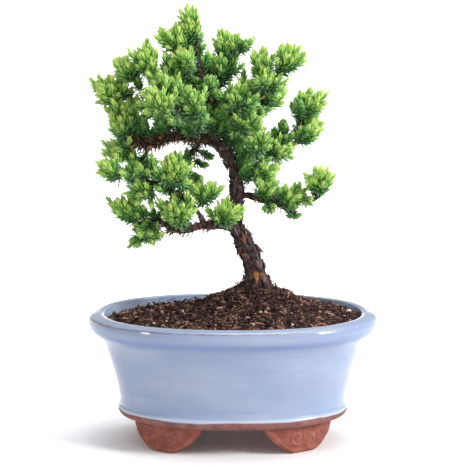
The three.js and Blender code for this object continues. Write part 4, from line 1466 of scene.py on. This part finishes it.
def make_dry_needles():
    """Dead brown needles that still hold on to the main left limb and some thinner limbs."""
    rng = np.random.default_rng(61)
    parts = []
    for name, spacing, spread, spans in DRY_NEEDLES:
        path, radii = spline(placed(LIMB_ROUTES[name]), 8)
        start, stop = (int(len(path) * share) for share in spans)
        path, radii = path[start:stop], radii[start:stop]
        count = int(path_length(path) / spacing) * 3
        spot = rng.integers(0, len(path), count)
        axis = unit(np.gradient(path, axis=0))[spot]
        outward = turned(axis, square_to(axis), rng.uniform(0, 2 * math.pi, count))
        direction = leaning(axis, outward, spread * rng.uniform(0.6, 1.25, count))
        direction = unit(direction + rng.normal(0, 0.12, (count, 3)))
        foot = path[spot] + outward * radii[spot][:, None] * 0.85 + axis * rng.normal(0, 1, (count, 1))
        parts.append(needles(
            foot, direction, -outward + axis * 0.3, rng.uniform(2.6, 6.0, count),
            rng.uniform(0.7, 1.1, count), rng.uniform(-0.1, 0.25, count),
            rng.uniform(0, 0.3, count), rng.uniform(0.4, 1.0, count), rng.beta(1.2, 3, count),
        ))
    piece("dry_needles", joined(parts), [DRY])


# Leafy side twigs on each limb: where along it they start and stop, their spacing and longest reach.
LIMB_TWIGS = {
    "trunk": (0.5, 0.99, 2.8, 11),
    "left_main": (0.05, 0.9, 3.0, 14),
    "far_left": (0.1, 0.88, 3.3, 13),
    "low_left": (0.42, 0.9, 3.2, 13),
    "low_left_up": (0.2, 0.88, 3.4, 12),
    "low_right": (0.3, 0.9, 4.2, 9),
    "low_right_out": (0.1, 0.7, 4.2, 7),
    "right_mid": (0.1, 0.92, 3.2, 11),
    "upper_right": (0.1, 0.92, 3.2, 13),
    "upper_mid": (0.1, 0.92, 3.4, 12),
    "upper_left": (0.15, 0.9, 3.2, 12),
    "front_left": (0.15, 0.9, 3.4, 12),
    "back": (0.2, 0.92, 3.2, 13),
    "back_down": (0.1, 0.92, 3.6, 9),
}
UPWARD_LIMBS = ("left_main",)  # bare below
TRUNK_BARE_TO = RIM + 128  # below this height the trunk has twigs on its right side only
SHORTEST_SIDE_TWIG = 5


def make_limb_shoots():
    """Leafy side twigs along the limbs, which fill the canopy between its outer clusters."""
    for index, (name, (start, stop, spacing, longest)) in enumerate(LIMB_TWIGS.items()):
        rng = np.random.default_rng(620 + index)
        route = TRUNK_ROUTE if name == "trunk" else LIMB_ROUTES[name]
        path, radii = spline(placed(route), 12)
        count = int(path_length(path) * (stop - start) / spacing)
        spot = (np.linspace(start, stop, count) * (len(path) - 1)).astype(int)
        along = unit(np.gradient(path, axis=0))[spot]
        outward = turned(along, square_to(along), rng.uniform(0, 2 * math.pi, count))
        outward = outward + UP * (1.0 if name in UPWARD_LIMBS else 0.25)
        if name == "trunk":
            outward = outward + [1.5, 0, 0] * (path[spot, 2:] < TRUNK_BARE_TO)
        outward = unit(outward)
        heading = unit(outward * 0.9 + along * 0.5 + UP * 0.2)
        foot = path[spot] + outward * radii[spot][:, None] * 0.8
        ends = foot + heading * rng.uniform(SHORTEST_SIDE_TWIG, longest, (count, 1))
        twigs = bow(foot, (foot + ends) / 2 + rng.normal(0, 1, (count, 3)), ends, TWIG_STEPS)
        size = min(longest, 13)
        # Their tones are painted light and shade from their place in the canopy.
        parts = leafy_twigs(rng, twigs, heading, size * 0.58, size * 0.84,
                            lambda tips: 0.1 + 0.8 * sunlight(tips))
        parts += old_needles(rng, path[None, spot[0] : spot[-1] + 1], 2.4, 66, 0.05, 0.4, 6.4)
        piece("limb_shoots_" + name, joined(parts), [NEEDLES, TWIGS])


STUB_SIDES = 18
STUB_SWELL = np.array([1.25, 1.05, 1, 1, 1.02, 0.98])  # radius along a stub, from its limb to its cut
# Each stub's limb, its place along it, the way it points, its length and its radius.
STUBS = [
    ("left_main", 0.86, (-0.55, -0.7, -0.3), 7, 2.1),
    ("left_main", 0.74, (0.1, -0.85, -0.35), 5, 1.6),
    ("left_main", 0.6, (0.1, -0.7, 0.6), 4, 1.2),
    ("upper_right", 0.72, (0.5, -0.75, -0.3), 5, 1.3),
    ("right_mid", 0.8, (0.6, -0.6, 0.4), 4, 1.2),
    ("low_left", 0.12, (-0.3, -0.7, 0.65), 4, 1.3),
    ("low_right", 0.35, (0.3, -0.8, -0.4), 4, 1.1),
]


def make_stubs():
    """Short stubs of pruned twigs, with pale orange cut faces."""
    parts = []
    for name, share, way, long, radius in STUBS:
        path, radii = spline(placed(LIMB_ROUTES[name]), 8)
        spot = int(share * (len(path) - 1))
        way = unit(np.array(way, float))
        foot = path[spot] + way * radii[spot] * 0.3
        line = foot + way * np.linspace(0, long, len(STUB_SWELL))[:, None]
        body = tube(line, STUB_SWELL * radius, STUB_SIDES)
        body["looks"][-STUB_SIDES:] = 1
        parts.append(body)
    whole = joined(parts)
    piece("pruned_stubs", whole, [BARK, CUT_WOOD], smooth=False,
          values={"scar": np.zeros(len(whole["verts"]))})


make_dry_needles()
make_limb_shoots()
make_stubs()

# ---------------------------------------------------------------- floor, light, camera

FLOOR_RADIUS, FLOOR_CURVE, FLOOR_WALL = 2600, 300, 260
FLOOR_COLUMNS = 96
WORLD_STRENGTH = 0.55
# Each light's place, the point it faces, its size in metres and its power in watts.
LIGHTS = {
    "key": ((1.6, -0.8, 1.1), (0, 0, 0.15), 0.65, 44),
    "fill": ((-1.65, -1.15, 1.0), (0, 0, 0.12), 0.3, 4.5),
    "top": ((0.1, 0.1, 1.7), (0, 0, 0.15), 1.0, 16),
    "backdrop": ((0, 1.0, 1.6), (0, 2.9, 0.2), 2.0, 60),
}
CAMERA_TARGET = (-0.00035, 0, 0.145)
CAMERA_DISTANCE = 1.2
CAMERA_ELEVATION = 7.7
CAMERA_LENS = 134.06


def make_floor():
    """A round floor that curves up into a low backdrop far from the pot."""
    flat = [(r, 0) for r in np.linspace(1, FLOOR_RADIUS, 12)]
    bend = np.linspace(0.1, math.pi / 2, 10)
    rising = [(FLOOR_RADIUS + FLOOR_CURVE * math.sin(a), FLOOR_CURVE * (1 - math.cos(a))) for a in bend]
    profile = np.array(flat + rising + [(FLOOR_RADIUS + FLOOR_CURVE, FLOOR_CURVE + FLOOR_WALL)])
    turn = circle(FLOOR_COLUMNS)
    across, height = profile[:, :1], profile[:, 1:]
    points = np.stack([across * np.cos(turn), across * np.sin(turn), height + 0 * turn], -1)
    sheet = lid(grid(points), np.arange(FLOOR_COLUMNS), True)
    mesh = bpy.data.meshes.new("floor")
    mesh.from_pydata((sheet["verts"] * MM).tolist(), [], sheet["faces"].tolist())
    mesh.polygons.foreach_set("use_smooth", np.ones(len(sheet["faces"]), bool))
    mesh.materials.append(floor_material())
    floor = bpy.data.objects.new("floor", mesh)
    bpy.context.scene.collection.objects.link(floor)


def aim(thing, target):
    direction = Vector(target) - thing.location
    thing.rotation_mode = "QUATERNION"
    thing.rotation_quaternion = direction.to_track_quat("-Z", "Y")


def add_light(name, place, target, size, power):
    light = bpy.data.lights.new(name, "AREA")
    light.size = size
    light.energy = power
    lamp = bpy.data.objects.new(name, light)
    lamp.location = place
    bpy.context.scene.collection.objects.link(lamp)
    aim(lamp, target)


def light_world():
    world = bpy.data.worlds.new("studio")
    world.use_nodes = True
    background = world.node_tree.nodes["Background"].inputs
    background["Color"].default_value = (1, 1, 1, 1)
    background["Strength"].default_value = WORLD_STRENGTH
    bpy.context.scene.world = world


def add_camera():
    lens = bpy.data.cameras.new("camera")
    lens.lens = CAMERA_LENS
    lens.sensor_width = 36
    lens.clip_start = 0.05
    lens.clip_end = 30
    camera = bpy.data.objects.new("camera", lens)
    tilt = math.radians(CAMERA_ELEVATION)
    back = Vector((0, -math.cos(tilt), math.sin(tilt)))
    camera.location = Vector(CAMERA_TARGET) + back * CAMERA_DISTANCE
    bpy.context.scene.collection.objects.link(camera)
    aim(camera, CAMERA_TARGET)
    bpy.context.scene.camera = camera


make_floor()
light_world()
for name, numbers in LIGHTS.items():
    add_light(name, *numbers)
add_camera()
bpy.context.scene.view_settings.view_transform = "Standard"
